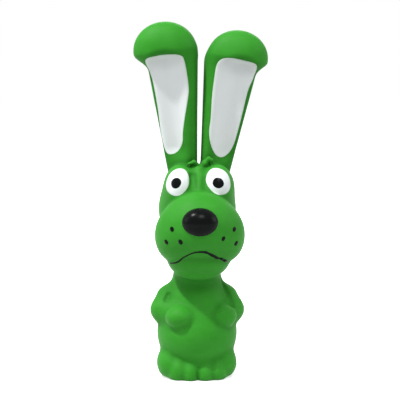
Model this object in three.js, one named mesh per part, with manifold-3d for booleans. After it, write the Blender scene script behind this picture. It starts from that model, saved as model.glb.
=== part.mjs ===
import * as THREE from 'three';
import { mergeVertices } from 'three/addons/utils/BufferGeometryUtils.js';
import Module from 'manifold-3d';

// A squeaky latex dog toy: one hollow moulded skin, painted details and a squeaker pushed into its base.
// Millimetres, +Z up, the face towards -Y. Left and right are as seen from the front.
// A lump is an ellipsoid with a centre (at) and a full width, depth and height (size).
// A limb is a tapered bar between two points with a radius at each, and flatness is its depth to width.
// Blend is how softly a form runs into the clay before it.

// Skin
const wall = 2.2;
const leastHollow = 1;
const baseRounding = 2.5;
const baseCut = 0.4;

// Body
const belly = { at: [0, -1, 28.4], size: [52, 50.8, 54] };
const chest = { at: [0, 1, 46], size: [43, 38, 40], blend: 8 };
const seat = { at: [-0.4, 1, 7], size: [43, 43, 26], blend: 5 };
const neck = { foot: [0, 0, 52], radii: [15, 15.6], belowSkull: 29, blend: 8 };
const tail = { height: 16, size: [14, 14, 14], sunk: 0.4 };

// Arms, and the paws that they end in
const arm = { shoulder: [16.4, 0, 51.5], elbow: [22.4, -4, 44.2], radii: [8, 7.6], blend: 5 };
const forearm = { radii: [7.4, 7.2], behindPaw: 2.7, blend: 4 };
const paws = { left: [-12.6, -17.2, 41], right: [16.2, -17.2, 41], size: [16.8, 14.8, 14.6] };

// Feet, each with an outer, a middle and an inner toe
const feetMiddle = -0.5;
const toes = [
  { at: [17.4, -6, 9.3], size: [17.2, 26, 21.6] },
  { at: [12.4, -12.4, 5], size: [15.2, 21.2, 21] },
  { at: [4.8, -14.4, 3], size: [13.6, 20, 18] },
];

// Head, with each form offset from the skull's centre, and the jowls and nose from the muzzle's
const skull = { at: [0.3, 2, 109], size: [50.4, 46, 56] };
const brows = [
  { offset: [-11.9, -7, 13.5], size: [20.8, 30, 31.2], blend: 4 },
  { offset: [12.6, -7, 13.5], size: [22.4, 30, 31.2], blend: 4 },
];
const muzzle = { offset: [0.7, -21, -10], size: [50.8, 43, 46.2], blend: 2 };
const jowl = { offset: [14.6, 3, -6.4], size: [28, 32, 33], blend: 7 };
const jaw = { offset: [0.1, -15, -31], size: [40.4, 38, 26.4], blend: 2.5 };
const nose = { offset: [-0.8, -16, 4.8], size: [23.6, 18, 19.2] };
const bridge = { top: [0.4, -9, 25.4], foot: [0.4, -18, 11], radii: [3, 4.2], blend: 2.6 };

// Tuft of two curls between the ears, offset from the skull's centre.
// Each is a lip that runs up and over in front of a web.
const curls = [
  {
    path: [[1.2, -4, 27], [-2.5, -6, 30.7], [-6.3, -6.4, 29.4]], radii: [1.7, 1.4, 1],
    web: { offset: [-1.9, -3.4, 27.2], size: [8, 5.6, 5.4] },
  },
  {
    path: [[1.7, -4, 25.6], [4.9, -5.6, 29.6], [7.1, -6.4, 33], [8.9, -6.4, 31.9], [9, -6, 29.6]],
    radii: [2.2, 1.8, 1.3, 1.2, 1.2],
    web: { offset: [5.5, -3.4, 28.2], size: [7.4, 5.6, 8.4] },
  },
];

// Ears: a long blade with a roll along its inner edge, a fat round tip and a shallow dish in front.
// They start on the skull, at shares of its half sizes, and lean outwards. Places across are outwards.
const ears = {
  left: {
    side: -1, rootShares: [-0.39, 0.13, 0.893], lean: 8.2, length: 96.8,
    tip: { width: 40.4, over: 18.2, under: 7.8 }, bladeRadii: [9, 14.8], rollFoot: -4.5, rollTop: -13.6,
  },
  right: {
    side: 1, rootShares: [0.517, 0.13, 0.893], lean: 10.5, length: 91.6,
    tip: { width: 38.2, over: 17.2, under: 5.7 }, bladeRadii: [8.4, 15.8], rollFoot: -6.2, rollTop: -14.2,
  },
};
const blade = { foot: [0.2, 1], top: [-2.3, -2.6], topShare: 0.74, flatness: 0.56 };
const roll = { depths: [-0.5, -3], footHeight: 4, radii: [4.8, 6.6], blend: 4 };
const tip = { forward: 3, depth: 23.6, blend: 6 };
const dish = { foot: [3.4, -7.6], top: [2.6, -14.6], radii: [8.2, 12.6], flatness: 0.7, blend: 4 };
const dishFootShare = 0.16;
const dishTopShare = 0.65;

// Paint films, drawn a little proud so that each is a piece of its own
const paint = 0.4;
const fit = 0.3;
const facePlaneShare = 0.6;
const eyes = {
  left: { offset: [-13.4, 18.8], radii: [7, 8.9], turn: -30, pupil: [-1.1, -0.3], pupilRadii: [3.25, 3.3] },
  right: { offset: [12.7, 19.2], radii: [7.4, 8.8], turn: 30, pupil: [-0.4, -0.7], pupilRadii: [3.5, 3.3] },
};
const whiskers = {
  left: [[-18.5, 1], [-22, -7.5], [-13.2, -6.9]],
  right: [[21, 0.4], [13.8, -4.9], [22.3, -8.8]],
};
const whiskerRadii = [1.35, 1.7];
const mouth = { offset: [-1.2, -22.6], rise: 9.2, thin: 0.7, thick: 1.4 };
const mouthWidthShare = 0.89;
const mouthShares = [
  [-1, 0], [-0.84, 0.08], [-0.7, 0.24], [-0.54, 0.53], [-0.39, 0.75], [-0.2, 0.93], [-0.02, 1], [0.17, 1],
  [0.29, 0.92], [0.42, 0.77], [0.54, 0.63], [0.63, 0.51], [0.76, 0.46], [0.88, 0.31], [1, 0.17],
];
const thickeningShares = [0.3, 0.7];

// Lining outlines: shares of the tip's half width outwards, and of the ear's length upwards
const liningShares = {
  left: [
    [0.66, 0.765], [0.3, 0.782], [-0.1, 0.78], [-0.43, 0.765], [-0.56, 0.725], [-0.58, 0.55], [-0.48, 0.455],
    [-0.32, 0.348], [-0.2, 0.255], [-0.14, 0.187], [0.02, 0.134], [0.25, 0.116], [0.43, 0.14], [0.5, 0.26],
    [0.49, 0.42], [0.51, 0.58], [0.57, 0.68],
  ],
  right: [
    [-0.7, 0.735], [-0.57, 0.778], [-0.3, 0.796], [0.1, 0.797], [0.62, 0.78], [0.62, 0.69], [0.52, 0.594],
    [0.49, 0.46], [0.46, 0.34], [0.4, 0.206], [0.28, 0.134], [0.08, 0.096], [-0.14, 0.104], [-0.36, 0.16],
    [-0.52, 0.25], [-0.56, 0.35], [-0.65, 0.5], [-0.7, 0.64],
  ],
};

// Squeaker: a flanged cup with a snap ring that grips the collar of the base hole
const neckRadius = 9;
const snapReach = 1.5;
const snapHeight = 1.2;
const flangeReach = 3;
const flangeThickness = 1.2;
const flangeLift = 0.4;
const collarWidth = 4.7;
const collarTop = 5.3;
const tubeRadius = 8;
const tubeTop = 14;
const tubeWall = 1.4;
const cupFloor = 1.8;
const airHoleRadius = 1.5;
const capThickness = 1.2;
const capLip = 1;
const capLipWall = 1;
const capHoleRadius = 2;

// Reed and the two half-round blocks that hold it
const reed = { width: 5, length: 9, thickness: 0.3 };
const clampHeight = 3.5;
const reedSwing = 0.9;
const layGroove = { width: 4, depth: 2 };

// Fineness of the mesh and of the search for a surface
const farthestShare = 1.25;
const farthest = ears.left.length * farthestShare;
const weldTolerance = 0.001;
const overrun = 1;
const strideShare = 0.6;
const leastStrideShare = 0.002;
const halvings = 24;
const bellyCoreShare = 0.17;
const skullCoreShare = 0.25;
const lumpCoreShare = 0.125;
const earCoreSetBack = 0.3;
const roundSegments = 30;
const outlineSteps = 40;
const mouthSteps = 22;
const dotSteps = 10;
const curlSegments = 8;
const headGrid = { cap: 9, around: 42, along: 5, frontShare: 0.35 };
const bodyGrid = { cap: 7, around: 38, along: 8, frontShare: 0.3 };
const knobGrid = { cap: 3, around: 12, along: 1, frontShare: 0 };
const noseGrid = { cap: 5, around: 20, along: 1, frontShare: 0.2 };
const earGrid = { cap: 5, around: 24, along: 10, frontShare: 0.25 };
const hollowGrid = { cap: 4, around: 20, along: 5, frontShare: 0 };
const earHollowGrid = { cap: 3, around: 16, along: 8, frontShare: 0 };

const latexGreen = { color: 0x3a9a38, roughness: 0.62, metalness: 0 };
const paintWhite = { color: 0xe9edec, roughness: 0.35, metalness: 0 };
const paintBlack = { color: 0x111214, roughness: 0.25, metalness: 0 };
const whitePlastic = { color: 0xe4e4de, roughness: 0.4, metalness: 0 };
const reedFilm = { color: 0xcfd6d8, roughness: 0.3, metalness: 0 };

const wasm = await Module();
wasm.setup();

// Sums and norms
function plus(place, offset) {
  return place.map((value, axis) => value + offset[axis]);
}

function norm(a, b, c) {
  return Math.sqrt(a * a + b * b + c * c);
}

// Clay forms: each is a function that gives the distance from a point to the form's surface
function lump(at, size, under = size[2] / 2) {
  const [rx, ry, over] = size.map((full) => full / 2);
  return (x, y, z) => {
    const dx = x - at[0];
    const dy = y - at[1];
    const dz = z - at[2];
    const rz = dz > 0 ? over : under;
    const reach = norm(dx / rx, dy / ry, dz / rz);
    const slope = norm(dx / rx ** 2, dy / ry ** 2, dz / rz ** 2);
    return slope > 0 ? (reach * (reach - 1)) / slope : -Math.min(rx, ry, rz);
  };
}

function limb(from, to, radii, flatness = 1) {
  const run = [to[0] - from[0], (to[1] - from[1]) / flatness, to[2] - from[2]];
  const runSquared = run[0] ** 2 + run[1] ** 2 + run[2] ** 2;
  return (x, y, z) => {
    const dx = x - from[0];
    const dy = (y - from[1]) / flatness;
    const dz = z - from[2];
    const along = (dx * run[0] + dy * run[1] + dz * run[2]) / runSquared;
    const share = THREE.MathUtils.clamp(along, 0, 1);
    const away = norm(dx - share * run[0], dy - share * run[1], dz - share * run[2]);
    return (away - radii[0] - (radii[1] - radii[0]) * share) * flatness;
  };
}

function softer(a, b, reach) {
  const share = THREE.MathUtils.clamp((b - a) / reach / 2 + 1 / 2, 0, 1);
  return b + (a - b) * share - reach * share * (1 - share);
}

function blend(form, added, reach) {
  return (x, y, z) => softer(form(x, y, z), added(x, y, z), reach);
}

function carve(form, tool, reach) {
  return (x, y, z) => -softer(-form(x, y, z), tool(x, y, z), reach);
}

function bothSides(form, middle) {
  return (x, y, z) => form(middle + Math.abs(x - middle), y, z);
}

function flattenBelow(form, reach) {
  return (x, y, z) => -softer(-form(x, y, z), z + baseCut, reach);
}

// Places that several pieces share
const muzzleAt = plus(skull.at, muzzle.offset);
const noseAt = plus(muzzleAt, nose.offset);
const neckTop = [neck.foot[0], neck.foot[1], skull.at[2] - neck.belowSkull];

const tailAt = [belly.at[0], belly.at[1] + belly.size[1] / 2 - tail.sunk, tail.height];

function torsoForm() {
  let form = lump(belly.at, belly.size);
  form = blend(form, lump(chest.at, chest.size), chest.blend);
  form = blend(form, limb(neck.foot, neckTop, neck.radii), neck.blend);
  form = blend(form, bothSides(limb(arm.shoulder, arm.elbow, arm.radii), 0), arm.blend);
  for (const [side, paw] of [[-1, paws.left], [1, paws.right]]) {
    const elbow = [side * arm.elbow[0], arm.elbow[1], arm.elbow[2]];
    const wrist = plus(paw, [0, forearm.behindPaw, 0]);
    form = blend(form, limb(elbow, wrist, forearm.radii), forearm.blend);
  }
  form = blend(form, lump(seat.at, seat.size), seat.blend);
  return flattenBelow(form, baseRounding);
}

function headForm() {
  let form = lump(skull.at, skull.size);
  for (const brow of brows) {
    form = blend(form, lump(plus(skull.at, brow.offset), brow.size), brow.blend);
  }
  const bridgeForm = limb(plus(skull.at, bridge.top), plus(skull.at, bridge.foot), bridge.radii);
  form = blend(form, bridgeForm, bridge.blend);
  form = blend(form, lump(muzzleAt, muzzle.size), muzzle.blend);
  form = blend(form, bothSides(lump(plus(muzzleAt, jowl.offset), jowl.size), muzzleAt[0]), jowl.blend);
  return blend(form, lump(plus(skull.at, jaw.offset), jaw.size), jaw.blend);
}

// An ear stands upright in its own frame, with x outwards, until its group leans it
function earForm(ear) {
  const topHeight = ear.length * blade.topShare;
  const tipAt = [0, -tip.forward, ear.length - ear.tip.over];
  const dishFoot = [...dish.foot, ear.length * dishFootShare];
  const dishTop = [...dish.top, ear.length * dishTopShare];
  const rollFoot = [ear.rollFoot, roll.depths[0], roll.footHeight];
  const rollTop = [ear.rollTop, roll.depths[1], topHeight];
  const bladeForm = limb([...blade.foot, 0], [...blade.top, topHeight], ear.bladeRadii, blade.flatness);
  const rollForm = limb(rollFoot, rollTop, roll.radii);
  const tipForm = lump(tipAt, [ear.tip.width, tip.depth, ear.tip.over * 2], ear.tip.under);
  const dishForm = limb(dishFoot, dishTop, dish.radii, dish.flatness);
  const rolled = blend(bladeForm, rollForm, roll.blend);
  const hollowed = carve(blend(rolled, tipForm, tip.blend), dishForm, dish.blend);
  return (x, y, z) => hollowed(ear.side * x, y, z);
}

// Walks along a ray until it crosses the surface, then halves the last stride
function crossing(distance, start, heading) {
  let at = start;
  let before = start;
  while (Math.sign(distance(at)) === Math.sign(distance(start)) && at >= 0 && at <= farthest) {
    before = at;
    const stride = Math.max(Math.abs(distance(at)) * strideShare, farthest * leastStrideShare);
    at += heading * stride;
  }
  for (let turn = 0; turn < halvings; turn += 1) {
    const middle = (at + before) / 2;
    if (Math.sign(distance(middle)) === Math.sign(distance(start))) {
      before = middle;
    } else {
      at = middle;
    }
  }
  return (at + before) / 2;
}

// A geometry without the doubled points along its seams
function welded(geometry) {
  const bare = new THREE.BufferGeometry();
  bare.setAttribute('position', geometry.attributes.position);
  bare.setIndex(geometry.index);
  return mergeVertices(bare, weldTolerance);
}

// A capsule round a core line whose points slide along their rays onto the form.
// Level is how far outside the surface it settles; a hollow is found from the core outwards.
function wrap(form, core, grid, level = 0, hollow = false) {
  const foot = new THREE.Vector3(...core[0]);
  const crown = new THREE.Vector3(...core[1]);
  const axis = crown.clone().sub(foot);
  const span = axis.length();
  axis.normalize();
  const sideways = new THREE.Vector3(1, 0, 0).addScaledVector(axis, -axis.x).normalize();
  const forwards = sideways.clone().cross(axis);
  const geometry = welded(new THREE.CapsuleGeometry(1, span, grid.cap, grid.around, grid.along));
  const position = geometry.attributes.position;
  const vertex = new THREE.Vector3();
  const ray = new THREE.Vector3();
  const place = new THREE.Vector3();
  for (let index = 0; index < position.count; index += 1) {
    vertex.fromBufferAttribute(position, index);
    const height = THREE.MathUtils.clamp(vertex.y, -span / 2, span / 2);
    const around = Math.atan2(vertex.x, vertex.z);
    const turned = around - grid.frontShare * Math.sin(around);
    const outwards = Math.hypot(vertex.x, vertex.z);
    ray.copy(axis).multiplyScalar(vertex.y - height);
    ray.addScaledVector(sideways, outwards * Math.sin(turned));
    ray.addScaledVector(forwards, outwards * Math.cos(turned));
    ray.normalize();
    const anchor = foot.clone().addScaledVector(axis, height + span / 2);
    const distance = (reach) => {
      place.copy(anchor).addScaledVector(ray, reach);
      return form(place.x, place.y, place.z) - level;
    };
    const found = hollow ? crossing(distance, 0, 1) : crossing(distance, farthest, -1);
    const reach = hollow ? Math.max(found, leastHollow) : found;
    place.copy(anchor).addScaledVector(ray, reach);
    position.setXYZ(index, place.x, place.y, place.z);
  }
  return geometry;
}

// A closed geometry as a solid that can be cut, without the slivers at its poles
function solid(geometry) {
  const merged = welded(geometry);
  const corners = merged.index.array;
  const kept = [];
  for (let first = 0; first < corners.length; first += 3) {
    const [a, b, c] = corners.subarray(first, first + 3);
    if (a !== b && b !== c && c !== a) {
      kept.push(a, b, c);
    }
  }
  const vertProperties = Float32Array.from(merged.attributes.position.array);
  return new wasm.Manifold(new wasm.Mesh({ numProp: 3, vertProperties, triVerts: Uint32Array.from(kept) }));
}

function geometryOf(manifold) {
  const mesh = manifold.getMesh();
  const geometry = new THREE.BufferGeometry();
  geometry.setAttribute('position', new THREE.BufferAttribute(mesh.vertProperties, 3));
  geometry.setIndex(new THREE.BufferAttribute(mesh.triVerts, 1));
  geometry.computeVertexNormals();
  return geometry;
}

function join(solids) {
  return solids.reduce((whole, added) => whole.add(added));
}

// The core lines that the forms are seen from
const bodyCore = [plus(belly.at, [0, 0, -belly.size[2] * bellyCoreShare]), neck.foot];
const jawAt = plus(skull.at, jaw.offset);
const headCore = [
  [skull.at[0], (skull.at[1] + jawAt[1]) / 2, (muzzleAt[2] + jawAt[2]) / 2],
  plus(skull.at, [0, 0, skull.size[2] * skullCoreShare]),
];

function lumpCore(at, size) {
  const lift = size[2] * lumpCoreShare;
  return [plus(at, [0, 0, -lift]), plus(at, [0, 0, lift])];
}

function earCore(ear) {
  const top = [0, -tip.forward / 2, ear.length - ear.tip.over];
  return [[0, blade.foot[1] + earCoreSetBack, roll.footHeight], top];
}

function earRoot(ear) {
  return plus(skull.at, ear.rootShares.map((share, axis) => (share * skull.size[axis]) / 2));
}

// Where an ear's own frame stands and leans on the head
function earFrame(ear) {
  const turn = new THREE.Matrix4().makeRotationY(ear.side * THREE.MathUtils.degToRad(ear.lean));
  return turn.setPosition(new THREE.Vector3(...earRoot(ear)));
}

// A flat outline in x and z as a bar that runs forwards from the plane y
function bar(shape, y, steps = outlineSteps) {
  const options = { depth: farthest, bevelEnabled: false, curveSegments: steps / 2 };
  return solid(new THREE.ExtrudeGeometry(shape, options).rotateX(Math.PI / 2).translate(0, y, 0));
}

function ellipse(x, z, radii, turn = 0) {
  const shape = new THREE.Shape();
  shape.absellipse(x, z, radii[0], radii[1], 0, Math.PI * 2, false, THREE.MathUtils.degToRad(turn));
  return shape;
}

function smoothLoop(points) {
  const corners = points.map(([x, z]) => new THREE.Vector3(x, z, 0));
  const loop = new THREE.CatmullRomCurve3(corners, true).getPoints(outlineSteps).slice(0, -1);
  return new THREE.Shape(loop.map((point) => new THREE.Vector2(point.x, point.y)));
}

// The layer of paint over a form, from one height above it to another
function coat(form, core, grid, height) {
  return solid(wrap(form, core, grid, height + paint)).subtract(solid(wrap(form, core, grid, height)));
}

const head = headForm();
const torso = torsoForm();

// A small lump of its own on the skin, flattened like the base
function knob(at, size) {
  return solid(wrap(flattenBelow(lump(at, size), baseRounding), lumpCore(at, size), knobGrid));
}

// A ball stretched to three radii, offset from the skull's centre
function bead(offset, radii) {
  return wasm.Manifold.sphere(1, curlSegments).scale(radii).translate(plus(skull.at, offset));
}

function curlOf({ path, radii, web }) {
  const beads = path.map((offset, index) => bead(offset, radii[index]));
  const lip = beads.slice(1).map((end, index) => wasm.Manifold.hull([beads[index], end]));
  return join([...lip, bead(web.offset, web.size.map((full) => full / 2))]);
}

// Skin
function latexSkin() {
  const outside = [solid(wrap(torso, bodyCore, bodyGrid)), solid(wrap(head, headCore, headGrid))];
  const inside = [
    solid(wrap(torso, bodyCore, hollowGrid, -wall, true)),
    solid(wrap(head, headCore, hollowGrid, -wall, true)),
  ];
  outside.push(knob(paws.left, paws.size), knob(paws.right, paws.size), knob(tailAt, tail.size));
  outside.push(solid(wrap(lump(noseAt, nose.size), lumpCore(noseAt, nose.size), noseGrid)));
  for (const toe of toes) {
    const [x, y, z] = toe.at;
    outside.push(knob([feetMiddle + x, y, z], toe.size), knob([feetMiddle - x, y, z], toe.size));
  }
  for (const ear of Object.values(ears)) {
    const form = earForm(ear);
    const core = earCore(ear);
    outside.push(solid(wrap(form, core, earGrid).applyMatrix4(earFrame(ear))));
    inside.push(solid(wrap(form, core, earHollowGrid, -wall, true).applyMatrix4(earFrame(ear))));
  }
  outside.push(...curls.map(curlOf));
  return join(outside).subtract(join(inside));
}

// The flat base, and its hole with a collar inside and a sunk seat for the flange below
const holeRadius = neckRadius + fit;
const flangeRadius = neckRadius + flangeReach;
const seatDepth = flangeLift + flangeThickness + fit;

function cylinder(radius, bottom, top) {
  const geometry = new THREE.CylinderGeometry(radius, radius, top - bottom, roundSegments);
  return solid(geometry.rotateX(Math.PI / 2).translate(0, 0, (bottom + top) / 2));
}

function box(width, depth, bottom, top, y) {
  const geometry = new THREE.BoxGeometry(width, depth, top - bottom);
  return solid(geometry.translate(0, y, (bottom + top) / 2));
}

function skinWithSqueakerHole() {
  const collar = cylinder(holeRadius + collarWidth, wall / 2, collarTop);
  const recess = cylinder(flangeRadius + fit, -overrun, seatDepth);
  const hole = cylinder(holeRadius, -overrun, collarTop + overrun);
  const below = box(farthest, farthest, -farthest, 0, 0);
  return latexSkin().add(collar).subtract(below).subtract(recess).subtract(hole);
}

// Squeaker parts
function revolve(profile) {
  const points = [...profile, profile[0]].map(([radius, height]) => new THREE.Vector2(radius, height));
  return new THREE.LatheGeometry(points, roundSegments).rotateX(Math.PI / 2);
}

const boreRadius = tubeRadius - tubeWall;
const cupBottom = flangeLift + cupFloor;
const snapBottom = collarTop + fit;
const snapTop = snapBottom + snapHeight;

function squeakerHousing() {
  return revolve([
    [airHoleRadius, flangeLift],
    [flangeRadius, flangeLift],
    [flangeRadius, flangeLift + flangeThickness],
    [neckRadius, flangeLift + flangeThickness],
    [neckRadius, snapBottom],
    [neckRadius + snapReach, snapBottom],
    [tubeRadius, snapTop],
    [tubeRadius, tubeTop],
    [boreRadius, tubeTop],
    [boreRadius, cupBottom],
    [airHoleRadius, cupBottom],
  ]);
}

const blockRadius = boreRadius - fit;
const blockBottom = cupBottom + fit;
const clampTop = blockBottom + clampHeight;
const capBottom = tubeTop + fit;
const lipBottom = capBottom - capLip;
const layTop = lipBottom - fit;

function squeakerCap() {
  return revolve([
    [capHoleRadius, capBottom],
    [blockRadius - capLipWall, capBottom],
    [blockRadius - capLipWall, lipBottom],
    [blockRadius, lipBottom],
    [blockRadius, capBottom],
    [tubeRadius, capBottom],
    [tubeRadius, capBottom + capThickness],
    [capHoleRadius, capBottom + capThickness],
  ]);
}

// A half-round block with its flat face this far from the reed's middle plane
function halfRound(setBack, bottom, top) {
  const start = Math.asin(setBack / blockRadius);
  const shape = new THREE.Shape();
  shape.absarc(0, 0, blockRadius, start, Math.PI - start, false);
  const options = { depth: top - bottom, bevelEnabled: false, curveSegments: roundSegments / 4 };
  return solid(new THREE.ExtrudeGeometry(shape, options).translate(0, 0, bottom));
}

const blockFace = reed.thickness / 2 + fit;

function reedLay() {
  const width = blockRadius * 2;
  const relief = box(width, blockFace + reedSwing, clampTop, layTop + overrun, (blockFace + reedSwing) / 2);
  const grooveDepth = blockFace + reedSwing + layGroove.depth;
  const groove = box(layGroove.width, grooveDepth, clampTop, layTop + overrun, grooveDepth / 2);
  return geometryOf(halfRound(blockFace, blockBottom, layTop).subtract(relief).subtract(groove));
}

function reedClamp() {
  return geometryOf(halfRound(blockFace, blockBottom, clampTop)).rotateZ(Math.PI);
}

function reedStrip() {
  const middle = blockBottom + fit + reed.length / 2;
  return new THREE.BoxGeometry(reed.width, reed.thickness, reed.length).translate(0, 0, middle);
}

// The scene graph
const toy = new THREE.Group();

function piece(name, geometry, finish, parent = toy) {
  const mesh = new THREE.Mesh(geometry, new THREE.MeshStandardMaterial(finish));
  mesh.name = name;
  parent.add(mesh);
  return mesh;
}

function paintedPiece(name, layer, outline, finish, parent = toy) {
  return piece(name, geometryOf(layer.intersect(outline)), finish, parent);
}

piece('latex_skin', geometryOf(skinWithSqueakerHole()), latexGreen);

for (const [side, ear] of Object.entries(ears)) {
  const stand = new THREE.Group();
  stand.applyMatrix4(earFrame(ear));
  toy.add(stand);
  const halfWidth = ear.tip.width / 2;
  const points = liningShares[side].map(([out, up]) => [ear.side * out * halfWidth, up * ear.length]);
  const layer = coat(earForm(ear), earCore(ear), earGrid, fit);
  paintedPiece(`ear_lining_${side}`, layer, bar(smoothLoop(points), 0), paintWhite, stand);
}

const faceCoat = coat(head, headCore, headGrid, fit);
const pupilCoat = coat(head, headCore, headGrid, fit + paint + fit);
const facePlane = skull.at[1] - (skull.size[1] / 2) * facePlaneShare;

for (const [side, eye] of Object.entries(eyes)) {
  const [x, z] = [skull.at[0] + eye.offset[0], skull.at[2] + eye.offset[1]];
  const white = bar(ellipse(x, z, eye.radii, eye.turn), facePlane);
  const black = bar(ellipse(x + eye.pupil[0], z + eye.pupil[1], eye.pupilRadii), facePlane, dotSteps * 2);
  paintedPiece(`eye_white_${side}`, faceCoat, white, paintWhite);
  paintedPiece(`pupil_${side}`, pupilCoat, black, paintBlack);
}

const noseCoat = coat(lump(noseAt, nose.size), lumpCore(noseAt, nose.size), noseGrid, fit);
const clearOfMuzzle = solid(wrap(head, headCore, headGrid, fit));
piece('nose_black', geometryOf(noseCoat.subtract(clearOfMuzzle)), paintBlack);

for (const [side, places] of Object.entries(whiskers)) {
  for (const [index, [x, z]] of places.entries()) {
    const dot = bar(ellipse(muzzleAt[0] + x, muzzleAt[2] + z, whiskerRadii), facePlane, dotSteps);
    paintedPiece(`whisker_dot_${side}_${index + 1}`, faceCoat, dot, paintBlack);
  }
}

// The mouth line runs under the muzzle, thin on the left and thick on the right
function mouthShape() {
  const corner = new THREE.Vector2(muzzleAt[0] + mouth.offset[0], muzzleAt[2] + mouth.offset[1]);
  const spread = new THREE.Vector2((jaw.size[0] / 2) * mouthWidthShare, mouth.rise);
  const places = mouthShares.map((shares) => new THREE.Vector2(...shares).multiply(spread).add(corner));
  const line = new THREE.SplineCurve(places).getPoints(mouthSteps);
  const above = [];
  const below = [];
  for (const [index, point] of line.entries()) {
    const thickening = THREE.MathUtils.smoothstep(index / mouthSteps, ...thickeningShares);
    const half = THREE.MathUtils.lerp(mouth.thin, mouth.thick, thickening) / 2;
    above.push(new THREE.Vector2(point.x, point.y + half));
    below.unshift(new THREE.Vector2(point.x, point.y - half));
  }
  return new THREE.Shape([...above, ...below]);
}

paintedPiece('mouth_line', faceCoat, bar(mouthShape(), facePlane), paintBlack);

piece('squeaker_housing', squeakerHousing(), whitePlastic);
piece('squeaker_cap', squeakerCap(), whitePlastic);
piece('reed_lay', reedLay(), whitePlastic);
piece('reed_clamp', reedClamp(), whitePlastic);
piece('reed', reedStrip(), reedFilm);

// The origin is under the middle of the whole toy
toy.updateMatrixWorld(true);
const middle = new THREE.Box3().setFromObject(toy, true).getCenter(new THREE.Vector3());
toy.position.set(-middle.x, -middle.y, 0);
toy.updateMatrixWorld(true);

export default toy;
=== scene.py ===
"""The look of a squeaky latex dog toy: its moulded skin, its paint, its squeaker, the studio and the camera.

Sizes are in millimetres on the toy's own axes: x across, y to the back, z up from the floor, with the
squeaker on the z axis. A mesh is put into the frame, in metres, when it is made.
"""

import logging
import math
from dataclasses import dataclass, field
from enum import Enum
from typing import Callable, Protocol, Sequence

import bpy
import numpy as np
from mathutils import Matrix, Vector


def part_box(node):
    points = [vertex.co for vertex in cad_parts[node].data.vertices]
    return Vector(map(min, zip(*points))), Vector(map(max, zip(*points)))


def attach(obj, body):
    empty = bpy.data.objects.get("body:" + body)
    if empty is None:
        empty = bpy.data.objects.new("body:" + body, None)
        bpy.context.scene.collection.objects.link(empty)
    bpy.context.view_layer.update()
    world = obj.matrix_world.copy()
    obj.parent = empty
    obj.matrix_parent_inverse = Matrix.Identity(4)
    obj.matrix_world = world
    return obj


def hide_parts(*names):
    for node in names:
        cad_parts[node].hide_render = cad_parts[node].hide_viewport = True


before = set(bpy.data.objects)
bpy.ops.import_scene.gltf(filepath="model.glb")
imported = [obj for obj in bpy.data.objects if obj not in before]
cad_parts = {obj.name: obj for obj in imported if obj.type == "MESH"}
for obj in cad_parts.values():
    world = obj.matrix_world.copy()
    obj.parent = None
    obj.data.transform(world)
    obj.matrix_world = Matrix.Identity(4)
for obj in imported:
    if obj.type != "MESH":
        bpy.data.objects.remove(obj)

LOG = logging.getLogger("toy")
MM = 0.001

Place = tuple[float, float, float]
Points = np.ndarray
Values = np.ndarray
Distance = Callable[[Points], Values]
Path = Sequence[tuple[float, float]]

TINY = 1e-6
MIDDLE = (0, 0, 115)


# Clay: forms that are pressed together and carved, each known by the distance to its surface


class Form(Protocol):
    """Anything that can say how far points are from its surface, with a minus sign inside."""

    def distance(self, points: Points) -> Values:
        """Gives the distance of each point."""


def softer(first: Values, second: Values, reach: float) -> Values:
    """Takes the smaller of two distances with a soft change between them.

    Args:
        first: one distance for each point.
        second: the other distance for each point.
        reach: how near to each other the two have to be to soften, in millimetres.

    Returns:
        The softened smaller distances.
    """
    share = np.clip((second - first) / reach / 2 + 0.5, 0, 1)
    return second + (first - second) * share - reach * share * (1 - share)


def shifted(place: Sequence[float], offset: Sequence[float]) -> Place:
    """Adds an offset to a place."""
    return tuple(a + b for a, b in zip(place, offset))


@dataclass(frozen=True)
class Lump:
    """An ellipsoid, whose lower half may be shorter than its upper half."""

    at: Place
    size: Place
    under: float | None = None

    def distance(self, points: Points) -> Values:
        """Gives the distance of each point.

        Args:
            points: rows of x, y and z.

        Returns:
            How far outside the surface each lies, in millimetres.
        """
        radii = np.array(self.size, np.float32) / 2
        offset = points - np.array(self.at, np.float32)
        if self.under is not None:
            radii = np.broadcast_to(radii, offset.shape).copy()
            radii[offset[:, 2] < 0, 2] = self.under
        scaled = offset / radii
        reach = np.sqrt((scaled * scaled).sum(-1))
        slope = np.sqrt(((scaled / radii) ** 2).sum(-1))
        return reach * (reach - 1) / np.maximum(slope, TINY)


@dataclass(frozen=True)
class Limb:
    """A tapered bar between two points. Flatness is its depth for a width of one."""

    start: Place
    end: Place
    radii: tuple[float, float]
    flatness: float = 1

    def distance(self, points: Points) -> Values:
        """Gives the distance of each point.

        Args:
            points: rows of x, y and z.

        Returns:
            How far outside the surface each lies, in millimetres.
        """
        squash = np.array((1, 1 / self.flatness, 1), np.float32)
        offset = (points - np.array(self.start, np.float32)) * squash
        run = (np.array(self.end, np.float32) - np.array(self.start, np.float32)) * squash
        share = np.clip(offset @ run / (run @ run), 0, 1)
        away = np.sqrt(((offset - share[:, None] * run) ** 2).sum(-1))
        return (away - self.radii[0] - (self.radii[1] - self.radii[0]) * share) * self.flatness


@dataclass(frozen=True)
class Mirrored:
    """A form and its mirror image on the other side of the plane x = middle."""

    form: Form
    middle: float = 0

    def distance(self, points: Points) -> Values:
        """Gives the distance of each point.

        Args:
            points: rows of x, y and z.

        Returns:
            How far outside the surface each lies, in millimetres.
        """
        folded = points.copy()
        folded[:, 0] = self.middle + np.abs(folded[:, 0] - self.middle)
        return self.form.distance(folded)


@dataclass(frozen=True)
class Below:
    """Everything under a level plane."""

    height: float = 0

    def distance(self, points: Points) -> Values:
        """Gives the distance of each point."""
        return points[:, 2] - self.height


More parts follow.
